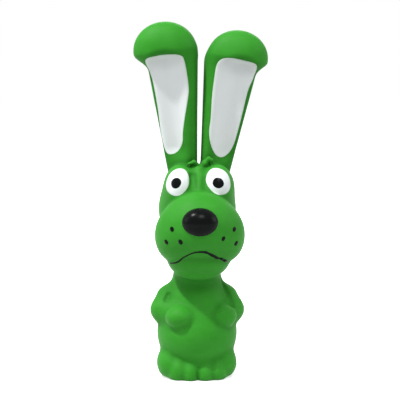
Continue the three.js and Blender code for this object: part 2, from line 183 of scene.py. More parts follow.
@dataclass
class Clay:
    """A body that forms are pressed onto or carved out of, in order."""

    first: Form
    steps: list[tuple[Form, float, bool]] = field(default_factory=list)

    def press(self, form: Form, reach: float) -> "Clay":
        """Presses a form onto the body, with its joint softened over reach millimetres."""
        self.steps.append((form, reach, False))
        return self

    def carve(self, form: Form, reach: float) -> "Clay":
        """Carves a form out of the body, with the edge softened over reach millimetres."""
        self.steps.append((form, reach, True))
        return self

    def distance(self, points: Points) -> Values:
        """Gives the distance of each point.

        Args:
            points: rows of x, y and z.

        Returns:
            How far outside the surface each lies, in millimetres.
        """
        found = self.first.distance(points)
        for form, reach, carved in self.steps:
            added = form.distance(points)
            found = -softer(-found, added, reach) if carved else softer(found, added, reach)
        return found


@dataclass(frozen=True)
class Leaning:
    """A form made upright, x outwards, that stands on a root and leans outwards."""

    form: Form
    root: Place
    side: int
    lean: float

    def distance(self, points: Points) -> Values:
        """Gives the distance of each point.

        Args:
            points: rows of x, y and z.

        Returns:
            How far outside the surface each lies, in millimetres.
        """
        offset = points - np.array(self.root, np.float32)
        cosine, sine = math.cos(math.radians(self.lean)), math.sin(math.radians(self.lean))
        across = offset[:, 0] * self.side
        upright = (across * cosine - offset[:, 2] * sine, offset[:, 1], across * sine + offset[:, 2] * cosine)
        return self.form.distance(np.stack(upright, -1).astype(np.float32))

    def stand(self, across: Values, up: Values) -> tuple[Values, Values]:
        """Turns places on the upright form into places on the toy.

        Args:
            across: how far each is from the root, outwards.
            up: how far each is above the root.

        Returns:
            Their x and their z.
        """
        cosine, sine = math.cos(math.radians(self.lean)), math.sin(math.radians(self.lean))
        x = self.root[0] + self.side * (across * cosine + up * sine)
        return x, self.root[2] - across * sine + up * cosine


# Meshes


@dataclass(frozen=True)
class Mesh:
    """Corners in millimetres and faces that name them."""

    corners: Points
    faces: list[Sequence[int]] | np.ndarray


def normals(distance: Distance, points: Points, step: float = 0.05) -> Points:
    """Finds which way a surface faces near each point.

    Args:
        distance: the body's distance.
        points: places on or near its surface.
        step: how far to each side the distance is read, in millimetres.

    Returns:
        The slope of the distance, of about unit length.
    """
    slopes = []
    for axis in np.eye(3, dtype=np.float32) * step:
        slopes.append((distance(points + axis) - distance(points - axis)) / (2 * step))
    return np.stack(slopes, -1)


def settle(distance: Distance, points: Points, least_slope: float = 0.05) -> Points:
    """Moves points along the slope onto a surface.

    Args:
        distance: the body's distance.
        points: places near the surface.
        least_slope: the square of the least slope to reckon with, so that no move is wild.

    Returns:
        The moved points.
    """
    slope = normals(distance, points)
    steepness = np.maximum((slope * slope).sum(-1), least_slope)
    return points - (distance(points) / steepness)[:, None] * slope


@dataclass(frozen=True)
class SurfaceNet:
    """Turns a distance into an even mesh of small four-sided faces."""

    cell: float
    low: Place
    high: Place
    smoothing: int = 3
    block: int = 4
    margin: float = 1.2

    def sample(self, distance: Distance) -> Values:
        """Reads the distance at the grid's corners, in full only in the blocks near the surface.

        Args:
            distance: the body's distance.

        Returns:
            A grid of distances. Far from the surface a whole block has its middle's.
        """
        low = np.array(self.low, np.float32)
        wide = self.cell * self.block
        blocks = np.ceil((np.array(self.high) - low) / wide).astype(int)
        index = np.stack(np.meshgrid(*map(np.arange, blocks), indexing="ij"), -1).reshape(-1, 3)
        half = self.cell * (self.block - 1) / 2
        centres = distance((low + index * wide + half).astype(np.float32))
        grid = centres.reshape(blocks)
        for axis in range(3):
            grid = np.repeat(grid, self.block, axis)
        near = index[np.abs(centres) < self.margin * math.sqrt(3) * wide / 2]
        inner = np.stack(np.meshgrid(*[np.arange(self.block)] * 3, indexing="ij"), -1).reshape(-1, 3)
        corners = (near[:, None] * self.block + inner[None]).reshape(-1, 3)
        grid = grid.copy()
        grid[tuple(corners.T)] = distance((low + corners * self.cell).astype(np.float32))
        return grid

    def mesh(self, distance: Distance) -> Mesh:
        """Meshes the surface where the distance is nothing.

        Args:
            distance: the body's distance, which is above nothing along the grid's own sides.

        Returns:
            A closed mesh that faces outwards.
        """
        grid = self.sample(distance)
        inside = grid < 0
        around = [(x, y, z) for x in (0, 1) for y in (0, 1) for z in (0, 1)]
        size = np.array(grid.shape) - 1
        parts = [inside[x:x + size[0], y:y + size[1], z:z + size[2]] for x, y, z in around]
        count = np.sum(parts, 0, dtype=np.int8)
        cells = np.argwhere((count > 0) & (count < len(around)))
        number = np.full(size, -1, np.int32)
        number[tuple(cells.T)] = np.arange(len(cells))
        middle = np.zeros((len(cells), 3))
        crossings = np.zeros(len(cells))
        for start in around:
            for axis in range(3):
                if start[axis]:
                    continue
                end = np.array(start)
                end[axis] = 1
                first = grid[tuple((cells + start).T)]
                second = grid[tuple((cells + end).T)]
                crossed = (first < 0) != (second < 0)
                share = first / np.where(crossed, first - second, 1)
                place = np.array(start) + share[:, None] * np.eye(3)[axis]
                middle += place * crossed[:, None]
                crossings += crossed
        corners = (cells + middle / crossings[:, None]) * self.cell + np.array(self.low)
        faces = self.faces(inside, number)
        return Mesh(self.even(distance, corners.astype(np.float32), faces), faces)

    @staticmethod
    def faces(inside: np.ndarray, number: np.ndarray) -> np.ndarray:
        """Joins the four cells round each crossed grid edge to a face.

        Args:
            inside: whether each grid corner is inside.
            number: each cell's corner number.

        Returns:
            Rows of four corner numbers.
        """
        found = []
        for axis in range(3):
            second, third = (axis + 1) % 3, (axis + 2) % 3
            first_half = np.moveaxis(inside, axis, 0)[:-1]
            second_half = np.moveaxis(inside, axis, 0)[1:]
            edges = np.argwhere(np.moveaxis(first_half != second_half, 0, axis))
            outwards = inside[tuple(edges.T)]
            ring = []
            for back, down in ((1, 1), (0, 1), (0, 0), (1, 0)):
                cell = edges.copy()
                cell[:, second] -= back
                cell[:, third] -= down
                ring.append(number[tuple(cell.T)])
            ring = np.stack(ring, -1)
            ring[~outwards] = ring[~outwards][:, ::-1]
            found.append(ring)
        return np.concatenate(found)

    def even(self, distance: Distance, corners: Points, faces: np.ndarray) -> Points:
        """Spreads corners evenly over the surface and puts them exactly onto it.

        Args:
            distance: the body's distance.
            corners: the mesh's corners.
            faces: rows of four corner numbers.

        Returns:
            The moved corners.
        """
        ends = np.concatenate([faces, np.roll(faces, -1, 1)], 0).ravel()
        others = np.concatenate([np.roll(faces, -1, 1), faces], 0).ravel()
        count = np.bincount(ends, minlength=len(corners))
        for _ in range(self.smoothing):
            mean = np.stack([np.bincount(ends, corners[others, axis], len(corners)) for axis in range(3)], -1)
            corners = ((corners + mean / count[:, None]) / 2).astype(np.float32)
            corners = settle(distance, corners).astype(np.float32)
        return settle(distance, corners)


def lathe(profile: Path, segments: int) -> Mesh:
    """Turns a closed profile about the z axis.

    Args:
        profile: its corners, each a radius and a height, against the clock.
        segments: how many flat sides the turned form has.

    Returns:
        A closed ring.
    """
    angles = np.arange(segments) * 2 * math.pi / segments
    rings = np.array(profile)
    corners = np.stack([
        np.outer(np.cos(angles), rings[:, 0]),
        np.outer(np.sin(angles), rings[:, 0]),
        np.tile(rings[:, 1], (segments, 1)),
    ], -1).reshape(-1, 3)
    faces = []
    for turn in range(segments):
        here, there = turn * len(rings), (turn + 1) % segments * len(rings)
        for step in range(len(rings)):
            after = (step + 1) % len(rings)
            faces.append((here + step, there + step, there + after, here + after))
    return Mesh(corners, faces)


def rounded(profile: Path, radius: float, steps: int = 4, most_share: float = 0.45) -> Path:
    """Rounds the corners of a closed profile.

    Args:
        profile: the sharp corners in order.
        radius: how far from a corner its curve starts, in millimetres.
        steps: how many short lines make each curve.
        most_share: how much of a side a curve may take up at most.

    Returns:
        The profile with a curve in place of each corner.
    """
    curved = []
    for index, corner in enumerate(profile):
        at = np.array(corner)
        before = np.array(profile[index - 1]) - at
        after = np.array(profile[(index + 1) % len(profile)]) - at
        start = before * min(radius / np.linalg.norm(before), most_share)
        end = after * min(radius / np.linalg.norm(after), most_share)
        for share in np.linspace(0, 1, steps + 1):
            curved.append(tuple(at + start * (1 - share) ** 2 + end * share ** 2))
    return curved


def square(half: float) -> list[tuple[float, float]]:
    """Lists the corners of a square about the z axis, against the clock."""
    return [(-half, -half), (half, -half), (half, half), (-half, half)]


# Pieces in the frame


@dataclass(frozen=True)
class Bench:
    """Where the toy stands in the frame, and what puts a piece onto it."""

    shift: Vector

    @classmethod
    def under(cls, node: str) -> "Bench":
        """Finds the toy's z axis from a node that stands on it."""
        low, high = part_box(node)
        return cls(Vector(((low.x + high.x) / 2, (low.y + high.y) / 2, 0)))

    def place(self, points: Points) -> Points:
        """Turns the toy's millimetres into the frame's metres."""
        return np.asarray(points, float) * MM + np.array(self.shift)

    def piece(self, name: str, mesh: Mesh, material: bpy.types.Material) -> bpy.types.Object:
        """Makes an object of a mesh, smooth all over.

        Args:
            name: the piece's name.
            mesh: its corners and faces.
            material: its finish.

        Returns:
            The new object.
        """
        data = bpy.data.meshes.new(name)
        data.from_pydata(self.place(mesh.corners).tolist(), [], np.asarray(mesh.faces).tolist())
        data.materials.append(material)
        data.shade_smooth()
        piece = bpy.data.objects.new(name, data)
        bpy.context.scene.collection.objects.link(piece)
        return piece


def hand_over(piece: bpy.types.Object, body: str, slot: str, nodes: Sequence[str]) -> None:
    """Rides a piece on its body and hides the nodes that it stands for.

    Args:
        piece: a finished piece.
        body: the body that it moves with.
        slot: the record's material slot; not used.
        nodes: the CAD nodes that it replaces.
    """
    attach(piece, body)
    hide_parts(*nodes)
    LOG.info("%s: %d faces", piece.name, len(piece.data.polygons))


class Cut(Enum):
    """How one mesh changes another."""

    ADD = "UNION"
    TAKE = "DIFFERENCE"


def combine(piece: bpy.types.Object, tool: bpy.types.Object, cut: Cut) -> None:
    """Adds a closed mesh to a piece or takes it away, and removes the tool.

    Args:
        piece: what is changed.
        tool: the closed mesh.
        cut: whether it is added or taken away.
    """
    modifier = piece.modifiers.new("combine", "BOOLEAN")
    modifier.operation = cut.value
    modifier.solver = "MANIFOLD"
    modifier.object = tool
    flatten(piece)
    bpy.data.objects.remove(tool)


def flatten(piece: bpy.types.Object) -> None:
    """Turns a piece with modifiers into a plain mesh.

    Args:
        piece: what is flattened.
    """
    depsgraph = bpy.context.evaluated_depsgraph_get()
    plain = bpy.data.meshes.new_from_object(piece.evaluated_get(depsgraph))
    piece.modifiers.clear()
    piece.data = plain


# Node trees


class NodeBoard:
    """A node tree and the one method that adds a node to it."""

    def __init__(self, tree: bpy.types.NodeTree) -> None:
        """Clears a tree for new nodes."""
        self.tree = tree
        tree.nodes.clear()

    def add(self, kind: str, settings: dict | None = None, sockets: dict | None = None) -> bpy.types.Node:
        """Adds a node.

        Args:
            kind: the node's type.
            settings: its properties, such as a Math node's operation, which are set first.
            sockets: input names or numbers with a value, a socket or a Wire for each.

        Returns:
            The new node.
        """
        node = self.tree.nodes.new(kind)
        for name, value in (settings or {}).items():
            setattr(node, name, value)
        for name, value in (sockets or {}).items():
            if isinstance(value, Wire):
                value = value.socket
            if isinstance(value, bpy.types.NodeSocket):
                self.tree.links.new(value, node.inputs[name])
            else:
                node.inputs[name].default_value = value
        return node


class Wire:
    """A socket that carries a number, on which Python's operators add Math nodes."""

    def __init__(self, board: NodeBoard, socket: bpy.types.NodeSocket) -> None:
        """Wraps a socket of the board's tree."""
        self.board = board
        self.socket = socket

    def math(self, operation: str, *others: "Wire | float", first: "Wire | float | None" = None) -> "Wire":
        """Adds a Math node.

        Args:
            operation: what the node does.
            others: the values after the first.
            first: the first value, when it isn't this wire.

        Returns:
            The result.
        """
        values = [self if first is None else first, *others]
        node = self.board.add("ShaderNodeMath", {"operation": operation}, dict(enumerate(values)))
        return Wire(self.board, node.outputs[0])

    def __add__(self, other: "Wire | float") -> "Wire":
        """Adds."""
        return self.math("ADD", other)

    __radd__ = __add__

    def __mul__(self, other: "Wire | float") -> "Wire":
        """Multiplies."""
        return self.math("MULTIPLY", other)

    __rmul__ = __mul__

    def __sub__(self, other: "Wire | float") -> "Wire":
        """Subtracts."""
        return self.math("SUBTRACT", other)

    def __rsub__(self, other: float) -> "Wire":
        """Subtracts this from a number."""
        return self.math("SUBTRACT", self, first=other)

    def clamped(self) -> "Wire":
        """Keeps the value between 0 and 1."""
        node = self.board.add("ShaderNodeClamp", {}, {"Value": self})
        return Wire(self.board, node.outputs[0])

    def between(self, low: float, high: float) -> "Wire":
        """Goes softly from 0 to 1.

        Args:
            low: the value that gives 0, as all below it do.
            high: the value that gives 1, as all above it do.

        Returns:
            The result.
        """
        sockets = {"Value": self, "From Min": low, "From Max": high}
        node = self.board.add("ShaderNodeMapRange", {"interpolation_type": "SMOOTHSTEP"}, sockets)
        return Wire(self.board, node.outputs["Result"])


Colour = tuple[float, float, float]

BLACK = (0, 0, 0)
WHITE = (1, 1, 1)
NOISE_MIDDLE = 0.5


@dataclass(frozen=True)
class Pattern:
    """A noise on a finish, and how much it tints, roughens and raises the surface.

    A span is what the tint's noise is narrowed to: none of the tint below it, and all of it above.
    """

    size: float
    detail: float = 2
    stretch: Place = (1, 1, 1)
    seed: float = 0
    span: tuple[float, float] | None = None
    tint: float = 0
    rough: float = 0
    height: float = 0


class Shader(NodeBoard):
    """A material's tree with its Principled shader and the patterns that this toy's finishes use."""

    def __init__(self, name: str) -> None:
        """Starts a material with one Principled shader.

        Args:
            name: the material's name.
        """
        self.material = bpy.data.materials.new(name)
        self.material.use_nodes = True
        super().__init__(self.material.node_tree)
        self.surface = self.add("ShaderNodeBsdfPrincipled")
        self.add("ShaderNodeOutputMaterial", {}, {"Surface": self.surface.outputs[0]})
        self.position = self.add("ShaderNodeTexCoord").outputs["Object"]

    def noise(self, pattern: Pattern) -> Wire:
        """Adds a pattern's noise, whose patches are about its size.

        Args:
            pattern: the noise's size, detail, stretch and seed.

        Returns:
            A value from 0 to 1, mostly near the middle.
        """
        sockets = {"Vector": self.position, "Location": (pattern.seed,) * 3, "Scale": pattern.stretch}
        moved = self.add("ShaderNodeMapping", {}, sockets)
        sockets = {"Vector": moved.outputs[0], "Scale": 1 / (pattern.size * MM), "Detail": pattern.detail}
        return Wire(self, self.add("ShaderNodeTexNoise", {}, sockets).outputs[0])

    def layered(self, patterns: Sequence[Pattern], roughness: float) -> tuple[Wire, Wire, Wire]:
        """Adds up a finish's patterns.

        Args:
            patterns: one or more noises.
            roughness: the finish's mean roughness.

        Returns:
            The tint, the roughness and the height that they come to.
        """
        tint, rough, height = 0.0, roughness, 0.0
        for pattern in patterns:
            value = self.noise(pattern)
            narrowed = value.between(*pattern.span) if pattern.span else value
            tint = narrowed * pattern.tint + tint
            rough = (value - NOISE_MIDDLE) * pattern.rough + rough
            height = value * pattern.height + height
        return tint, rough, height

    def dots(self, spacing: float, radius: float) -> Wire:
        """Adds small round dots.

        Args:
            spacing: about how far apart they are, in millimetres.
            radius: how wide each is from its middle, in millimetres.

        Returns:
            A value of 1 at their middles and 0 between them.
        """
        sockets = {"Vector": self.position, "Scale": 1 / (spacing * MM)}
        cells = self.add("ShaderNodeTexVoronoi", {}, sockets)
        return 1 - Wire(self, cells.outputs["Distance"]).between(0, radius / spacing)

    def attribute(self, name: str) -> Wire:
        """Reads a value that the mesh keeps at its corners."""
        return Wire(self, self.add("ShaderNodeAttribute", {"attribute_name": name}).outputs["Fac"])

    def mix(self, share: Wire, first: Colour | bpy.types.NodeSocket, second: Colour) -> bpy.types.NodeSocket:
        """Mixes two colours.

        Args:
            share: how much of the second there is.
            first: a colour or a colour's socket.
            second: the other colour.

        Returns:
            The mixed colour's socket.
        """
        node = self.add("ShaderNodeMix", {"data_type": "RGBA"}, {"Factor": share})
        for name, colour in (("A", first), ("B", second)):
            socket = next(s for s in node.inputs if s.name == name and s.type == "RGBA")
            if isinstance(colour, bpy.types.NodeSocket):
                self.tree.links.new(colour, socket)
            else:
                socket.default_value = (*colour, 1)
        return next(s for s in node.outputs if s.type == "RGBA")

    def relief(self, height: Wire, depth: float) -> None:
        """Raises the surface by a height times depth millimetres, or lowers it where it is below 0."""
        sockets = {"Height": height, "Distance": depth * MM, "Strength": 1.0}
        self.dress(Normal=self.add("ShaderNodeBump", {}, sockets).outputs[0])

    def dress(self, **sockets: object) -> None:
        """Sets the Principled shader's sockets.

        Args:
            sockets: a number, colour, socket or Wire by the socket's name, with _ for a space.
        """
        for name, value in sockets.items():
            socket = self.surface.inputs[name.replace("_", " ")]
            if isinstance(value, Wire):
                value = value.socket
            if isinstance(value, bpy.types.NodeSocket):
                self.tree.links.new(value, socket)
            elif isinstance(value, tuple):
                socket.default_value = (*value, 1)
            else:
                socket.default_value = value


# Finishes


class Mark(Enum):
    """The values that a mesh keeps at its corners for its finish."""

    # Corners deep in a crease get a high value, which the latex uses for painted shade and for more
    # roughness.
    CREASE = "crease"
    RIM = "rim"


def keep_mark(piece: bpy.types.Object, mark: Mark, values: Values) -> None:
    """Keeps one value for each corner of a piece's mesh."""
    layer = piece.data.attributes.new(mark.value, "FLOAT", "POINT")
    layer.data.foreach_set("value", np.asarray(values, np.float32))


@dataclass(frozen=True)
class LatexFinish:
    """Matt moulded latex: cloudy pigment, level streaks, a fine skin, a grain and pits, with painted shade
    that darkens its creases and pits.

    Shades are how much of the deep colour, the colour of that painted shade, a crease or a pit takes on.
    """

    name: str = "moulded_latex"
    colour: Colour = (0.026, 0.27, 0.013)
    # The colour of the painted shade in creases and pits.
    deep: Colour = (0.007, 0.12, 0.005)
    pale: Colour = (0.045, 0.33, 0.028)
    roughness: float = 0.58
    specular: float = 0.18
    sheen: float = 0.04
    sheen_roughness: float = 0.4
    cloud: Pattern = Pattern(17, 3, span=(0.35, 0.75), tint=0.4, rough=0.12)
    streak: Pattern = Pattern(
        6, 3, stretch=(0.3, 0.3, 1.6), seed=9, span=(0.42, 0.72), tint=0.25, rough=0.08, height=0.6,
    )
    skin: Pattern = Pattern(0.9, 3, seed=2, span=(0.4, 0.8), tint=0.12, rough=0.1, height=0.6)
    grain: Pattern = Pattern(0.35, 1, seed=5, tint=0.06, height=0.3)
    pit_spacing: float = 9
    pit_radius: float = 0.3
    # How far a pit's colour goes towards the painted shade colour.
    painted_pit_shade: float = 0.5
    pit_height: float = 1.5
    # How far a crease's colour goes towards the painted shade colour.
    painted_crease_shade: float = 0.8
    crease_rough: float = 0.15
    depth: float = 0.05

    def material(self) -> bpy.types.Material:
        """Makes the material.

        Returns:
            The latex.
        """
        shader = Shader(self.name)
        patterns = (self.cloud, self.streak, self.skin, self.grain)
        tint, rough, height = shader.layered(patterns, self.roughness)
        pits = shader.dots(self.pit_spacing, self.pit_radius)
        crease = shader.attribute(Mark.CREASE.value)
        # Painted shade: creases and pits are darkened towards the deep colour.
        shade = crease * self.painted_crease_shade + pits * self.painted_pit_shade
        tone = shader.mix(tint.clamped(), self.colour, self.pale)
        rough = rough + crease * self.crease_rough
        shader.dress(Base_Color=shader.mix(shade.clamped(), tone, self.deep), Roughness=rough.clamped())
        shader.dress(Specular_IOR_Level=self.specular)
        shader.dress(Sheen_Weight=self.sheen, Sheen_Roughness=self.sheen_roughness)
        shader.relief(height - pits * self.pit_height, self.depth)
        return shader.material


@dataclass(frozen=True)
class PaintFinish:
    """Paint brushed onto latex: even where it is thick, thinner along its rim, with faint strokes.

    The rim thins from thin_from and grows dull from dull_from, which are shares of the way out to it.
    """

    name: str
    colour: Colour
    thin: Colour
    roughness: float
    specular: float
    strokes: Pattern = Pattern(1.6, stretch=(1, 1, 0.16), seed=1, tint=0.03, rough=0.08, height=0.5)
    speckle: Pattern = Pattern(0.7, seed=4, rough=0.1, height=0.5)
    cover: Pattern = Pattern(8, seed=7, span=(0.5, 0.8), tint=0.06)
    thin_from: float = 0.9
    rim_tint: float = 0.5
    dull_from: float = 0.85
    rim_rough: float = 0.12
    depth: float = 0.02

    def material(self) -> bpy.types.Material:
        """Makes the material.

        Returns:
            The paint.
        """
        shader = Shader(self.name)
        tint, rough, height = shader.layered((self.strokes, self.speckle, self.cover), self.roughness)
        rim = shader.attribute(Mark.RIM.value)
        thinness = tint + rim.between(self.thin_from, 1) * self.rim_tint
        rough = rough + rim.between(self.dull_from, 1) * self.rim_rough
        shader.dress(Base_Color=shader.mix(thinness.clamped(), self.colour, self.thin))
        shader.dress(Roughness=rough.clamped(), Specular_IOR_Level=self.specular)
        shader.relief(height, self.depth)
        return shader.material


@dataclass(frozen=True)
class PlasticFinish:
    """Plastic with the faint patterns of its mould or its rolls, and how much light it scatters inside."""

    name: str
    colour: Colour
    shade: Colour
    roughness: float
    scatter: float
    depth: float
    patterns: tuple[Pattern, ...]

    def material(self) -> bpy.types.Material:
        """Makes the material.

        Returns:
            The plastic.
        """
        shader = Shader(self.name)
        tint, rough, height = shader.layered(self.patterns, self.roughness)
        shader.dress(Base_Color=shader.mix(tint.clamped(), self.colour, self.shade))
        shader.dress(Roughness=rough.clamped(), Subsurface_Weight=self.scatter)
        shader.relief(height, self.depth)
        return shader.material


LATEX = LatexFinish()
WHITE_PAINT = PaintFinish(
    "white_gloss_paint", colour=(0.85, 0.89, 0.9), thin=(0.55, 0.72, 0.55), roughness=0.34, specular=0.4,
)
BLACK_PAINT = PaintFinish(
    "black_gloss_paint", colour=(0.002, 0.003, 0.003), thin=(0.006, 0.014, 0.006), roughness=0.26,
    specular=0.07,
)
POLYTHENE = PlasticFinish(
    "milky_polythene", colour=(0.78, 0.78, 0.73), shade=(0.66, 0.66, 0.6), roughness=0.38, scatter=0.15,
    depth=0.015, patterns=(
        Pattern(4, tint=0.6, height=0.3),
        Pattern(0.25, seed=3, tint=0.2, rough=0.16, height=0.7),
    ),
)
CLEAR_STRIP = PlasticFinish(
    "reed_strip", colour=(0.62, 0.67, 0.69), shade=(0.5, 0.56, 0.6), roughness=0.25, scatter=0,
    depth=0.01, patterns=(Pattern(0.3, stretch=(1, 1, 0.05), tint=1, rough=0.2, height=1),),
)


# The toy's sub-assemblies


@dataclass
class Torso:
    """The belly, chest and neck with the arms, paws, feet and tail."""

    belly: Lump = Lump((0, -1, 28.4), (52, 50.8, 54))
    chest: Lump = Lump((0, 1, 46), (43, 38, 40))
    neck: Limb = Limb((0, 0, 52), (0, 0, 80), (15, 15.6))
    seat: Lump = Lump((-0.4, 1, 7), (43, 43, 26))
    tail: Lump = Lump((0, 24, 16), (14, 14, 14))
    shoulder: Place = (18.4, 0, 50.6)
    elbow: Place = (22, -4, 43.6)
    arm_radii: tuple[float, float] = (8.4, 7.9)
    forearm_radii: tuple[float, float] = (7.4, 7.2)
    behind_paw: float = 3.9
    paws: tuple[Lump, Lump] = (
        Lump((-11.8, -18.4, 41), (18.4, 16.8, 14.6)),
        Lump((16.2, -15.8, 41), (16.8, 15.6, 14.6)),
    )
    folds: tuple[Limb, ...] = (
        Limb((16.2, -5, 61.9), (19.5, -9.1, 54.5), (0.8, 1.7)),
        Limb((19.5, -9.1, 54.5), (21.8, -13.6, 48.6), (1.7, 2)),
        Limb((-19.2, -9.2, 54.2), (-20.4, -10.8, 52), (1.4, 2)),
    )
    feet_middle: float = -0.5
    toes: tuple[Lump, ...] = (
        Lump((16.9, -6, 9.3), (17.2, 26, 21.6)),
        Lump((11.9, -12.4, 5), (15.2, 21.2, 21)),
        Lump((4.4, -14.3, 3.4), (14.6, 20.2, 20.6)),
    )
    trunk_blend: float = 8
    arm_blend: float = 5
    forearm_blend: float = 4
    paw_blend: float = 2
    seat_blend: float = 5
    fold_blend: float = 1.6
    tail_blend: float = 2
    toe_blends: tuple[float, ...] = (2.8, 2.2, 2.2)

    def clay(self, solid: bool = True) -> Clay:
        """Presses the torso together.

        Args:
            solid: whether it gets the paws, folds, tail and toes, which the hollow inside doesn't follow.

        Returns:
            The torso with its neck and arms.
        """
        body = Clay(self.belly).press(self.chest, self.trunk_blend).press(self.neck, self.trunk_blend)
        body.press(Mirrored(Limb(self.shoulder, self.elbow, self.arm_radii)), self.arm_blend)
        for side, paw in zip((-1, 1), self.paws):
            elbow = (side * self.elbow[0], self.elbow[1], self.elbow[2])
            wrist = shifted(paw.at, (0, self.behind_paw, 0))
            body.press(Limb(elbow, wrist, self.forearm_radii), self.forearm_blend)
            if solid:
                body.press(paw, self.paw_blend)
        body.press(self.seat, self.seat_blend)
        if solid:
            for fold in self.folds:
                body.carve(fold, self.fold_blend)
            body.press(self.tail, self.tail_blend)
            for toe, blend in zip(self.toes, self.toe_blends):
                body.press(Mirrored(toe, self.feet_middle), blend)
        return body


@dataclass(frozen=True)
class Leaf:
    """One curl of the tuft: a lip that runs up, over and down again, and the web that it stands on."""

    path: tuple[Place, ...]
    radii: tuple[float, ...]
    web: Lump
    lip_blend: float = 0.8
    web_blend: float = 1

    def clay(self) -> Clay:
        """Presses the curl together.

        Returns:
            The web with the lip along its top.
        """
        curl = Clay(self.web)
        for step in range(len(self.path) - 1):
            limb = Limb(self.path[step], self.path[step + 1], self.radii[step:step + 2])
            curl.press(limb, self.lip_blend if step else self.web_blend)
        return curl


@dataclass
class Head:
    """The skull with its brows, muzzle, jowls, jaw, nose, bridge and tuft."""

    skull: Lump = Lump((0.3, 2, 109), (50.4, 46, 56))
    brows: tuple[Lump, Lump] = (
        Lump((-11.6, -5, 122.5), (20.8, 30, 31.2)),
        Lump((12.9, -5, 122.5), (22.4, 30, 31.2)),
    )
    muzzle: Lump = Lump((1, -19, 99), (50.8, 43, 46.2))
    jowl: Lump = Lump((15.6, -16, 92.6), (28, 32, 33))
    jaw: Lump = Lump((0.4, -13, 78), (40.4, 38, 26.4))
    nose: Lump = Lump((0.2, -35, 103.8), (23.6, 18, 19.2))
    bridge: Limb = Limb((0.7, -7, 134.4), (0.7, -16, 120), (3, 4.2))
    furrows: tuple[Limb, Limb] = (
        Limb((-3.5, -12.4, 132), (-3.8, -21.9, 122.4), (1.4, 2.5)),
        Limb((5.2, -15.3, 130.4), (4, -22.4, 122.2), (1.5, 2.2)),
    )
    brow_blend: float = 4
    bridge_blend: float = 2.6
    furrow_blend: float = 2.4
    muzzle_blend: float = 2
    jowl_blend: float = 7
    jaw_blend: float = 2.5
    nose_blend: float = 0.8
    leaves: tuple[Leaf, ...] = (
        Leaf(((1.5, -2, 136), (-2.2, -4, 139.7), (-6, -4.4, 138.4)), (1.7, 1.4, 1),
             Lump((-1.6, -1.4, 136.2), (8, 5.6, 5.4))),
        Leaf(((2, -2, 134.6), (5.2, -3.6, 138.6), (7.4, -4.4, 142), (9.2, -4.4, 140.9), (9.3, -4, 138.6)),
             (2.2, 1.8, 1.3, 1.2, 1.2), Lump((5.8, -1.4, 137.2), (7.4, 5.6, 8.4))),
    )

    def clay(self, solid: bool = True) -> Clay:
        """Presses the head together.

        Args:
            solid: whether it gets the bridge, furrows and nose, which the hollow inside doesn't follow.

        Returns:
            The head without its ears.
        """
        head = Clay(self.skull)
        for brow in self.brows:
            head.press(brow, self.brow_blend)
        if solid:
            head.press(self.bridge, self.bridge_blend)
            for furrow in self.furrows:
                head.carve(furrow, self.furrow_blend)
        head.press(self.muzzle, self.muzzle_blend)
        head.press(Mirrored(self.jowl, self.muzzle.at[0]), self.jowl_blend)
        head.press(self.jaw, self.jaw_blend)
        return head.press(self.nose, self.nose_blend) if solid else head


@dataclass
class Ear:
    """One long ear: a flat blade, a roll along its inner edge, a fat round tip and a dish in front.

    Its forms are placed upright on its root, with x outwards. The dish's ends have their heights, and the
    lining its own, as shares of the ear's length. The lining's widths are shares of half the tip's.
    """

    side: int
    root: Place
    lean: float
    length: float
    tip_width: float
    tip_over: float
    tip_under: float
    blade_radii: tuple[float, float]
    roll_ends: tuple[float, float]
    lining: Path
    top_share: float = 0.74
    blade: tuple[tuple[float, float], tuple[float, float]] = ((0.2, 1), (-2.3, -2.6))
    blade_flatness: float = 0.56
    roll_depths: tuple[float, float] = (-0.5, -3)
    roll_foot: float = 4
    roll_radii: tuple[float, float] = (4.8, 6.6)
    tip_forward: float = 3
    tip_depth: float = 23.6
    dish: tuple[Place, Place] = ((3.4, -7.6, 0.16), (2.6, -14.6, 0.65))
    dish_radii: tuple[float, float] = (8.2, 12.6)
    dish_flatness: float = 0.7
    roll_blend: float = 4
    tip_blend: float = 6
    dish_blend: float = 4

    def leaning(self) -> Leaning:
        """Presses the ear together and leans it on its root.

        Returns:
            The ear in its place on the head.
        """
        top = self.length * self.top_share
        blade = Limb((*self.blade[0], 0), (*self.blade[1], top), self.blade_radii, self.blade_flatness)
        roll_foot, roll_top = zip(self.roll_ends, self.roll_depths, (self.roll_foot, top))
        roll = Limb(roll_foot, roll_top, self.roll_radii)
        tip_size = (self.tip_width, self.tip_depth, self.tip_over * 2)
        tip = Lump((0, -self.tip_forward, self.length - self.tip_over), tip_size, self.tip_under)
        ends = [(*place[:2], place[2] * self.length) for place in self.dish]
        dish = Limb(ends[0], ends[1], self.dish_radii, self.dish_flatness)
        ear = Clay(blade).press(roll, self.roll_blend).press(tip, self.tip_blend).carve(dish, self.dish_blend)
        return Leaning(ear, self.root, self.side, self.lean)

    def outline(self, steps: int) -> tuple[Values, Values]:
        """Draws the lining's outline on the leaning ear.

        Args:
            steps: how many places it has for each point of the lining.

        Returns:
            The places' x and z, against the clock from the front.
        """
        shares = closed_curve(np.array(self.lining), steps)
        x, z = self.leaning().stand(shares[:, 0] * self.tip_width / 2, shares[:, 1] * self.length)
        return (x, z) if area(x, z) > 0 else (x[::-1], z[::-1])


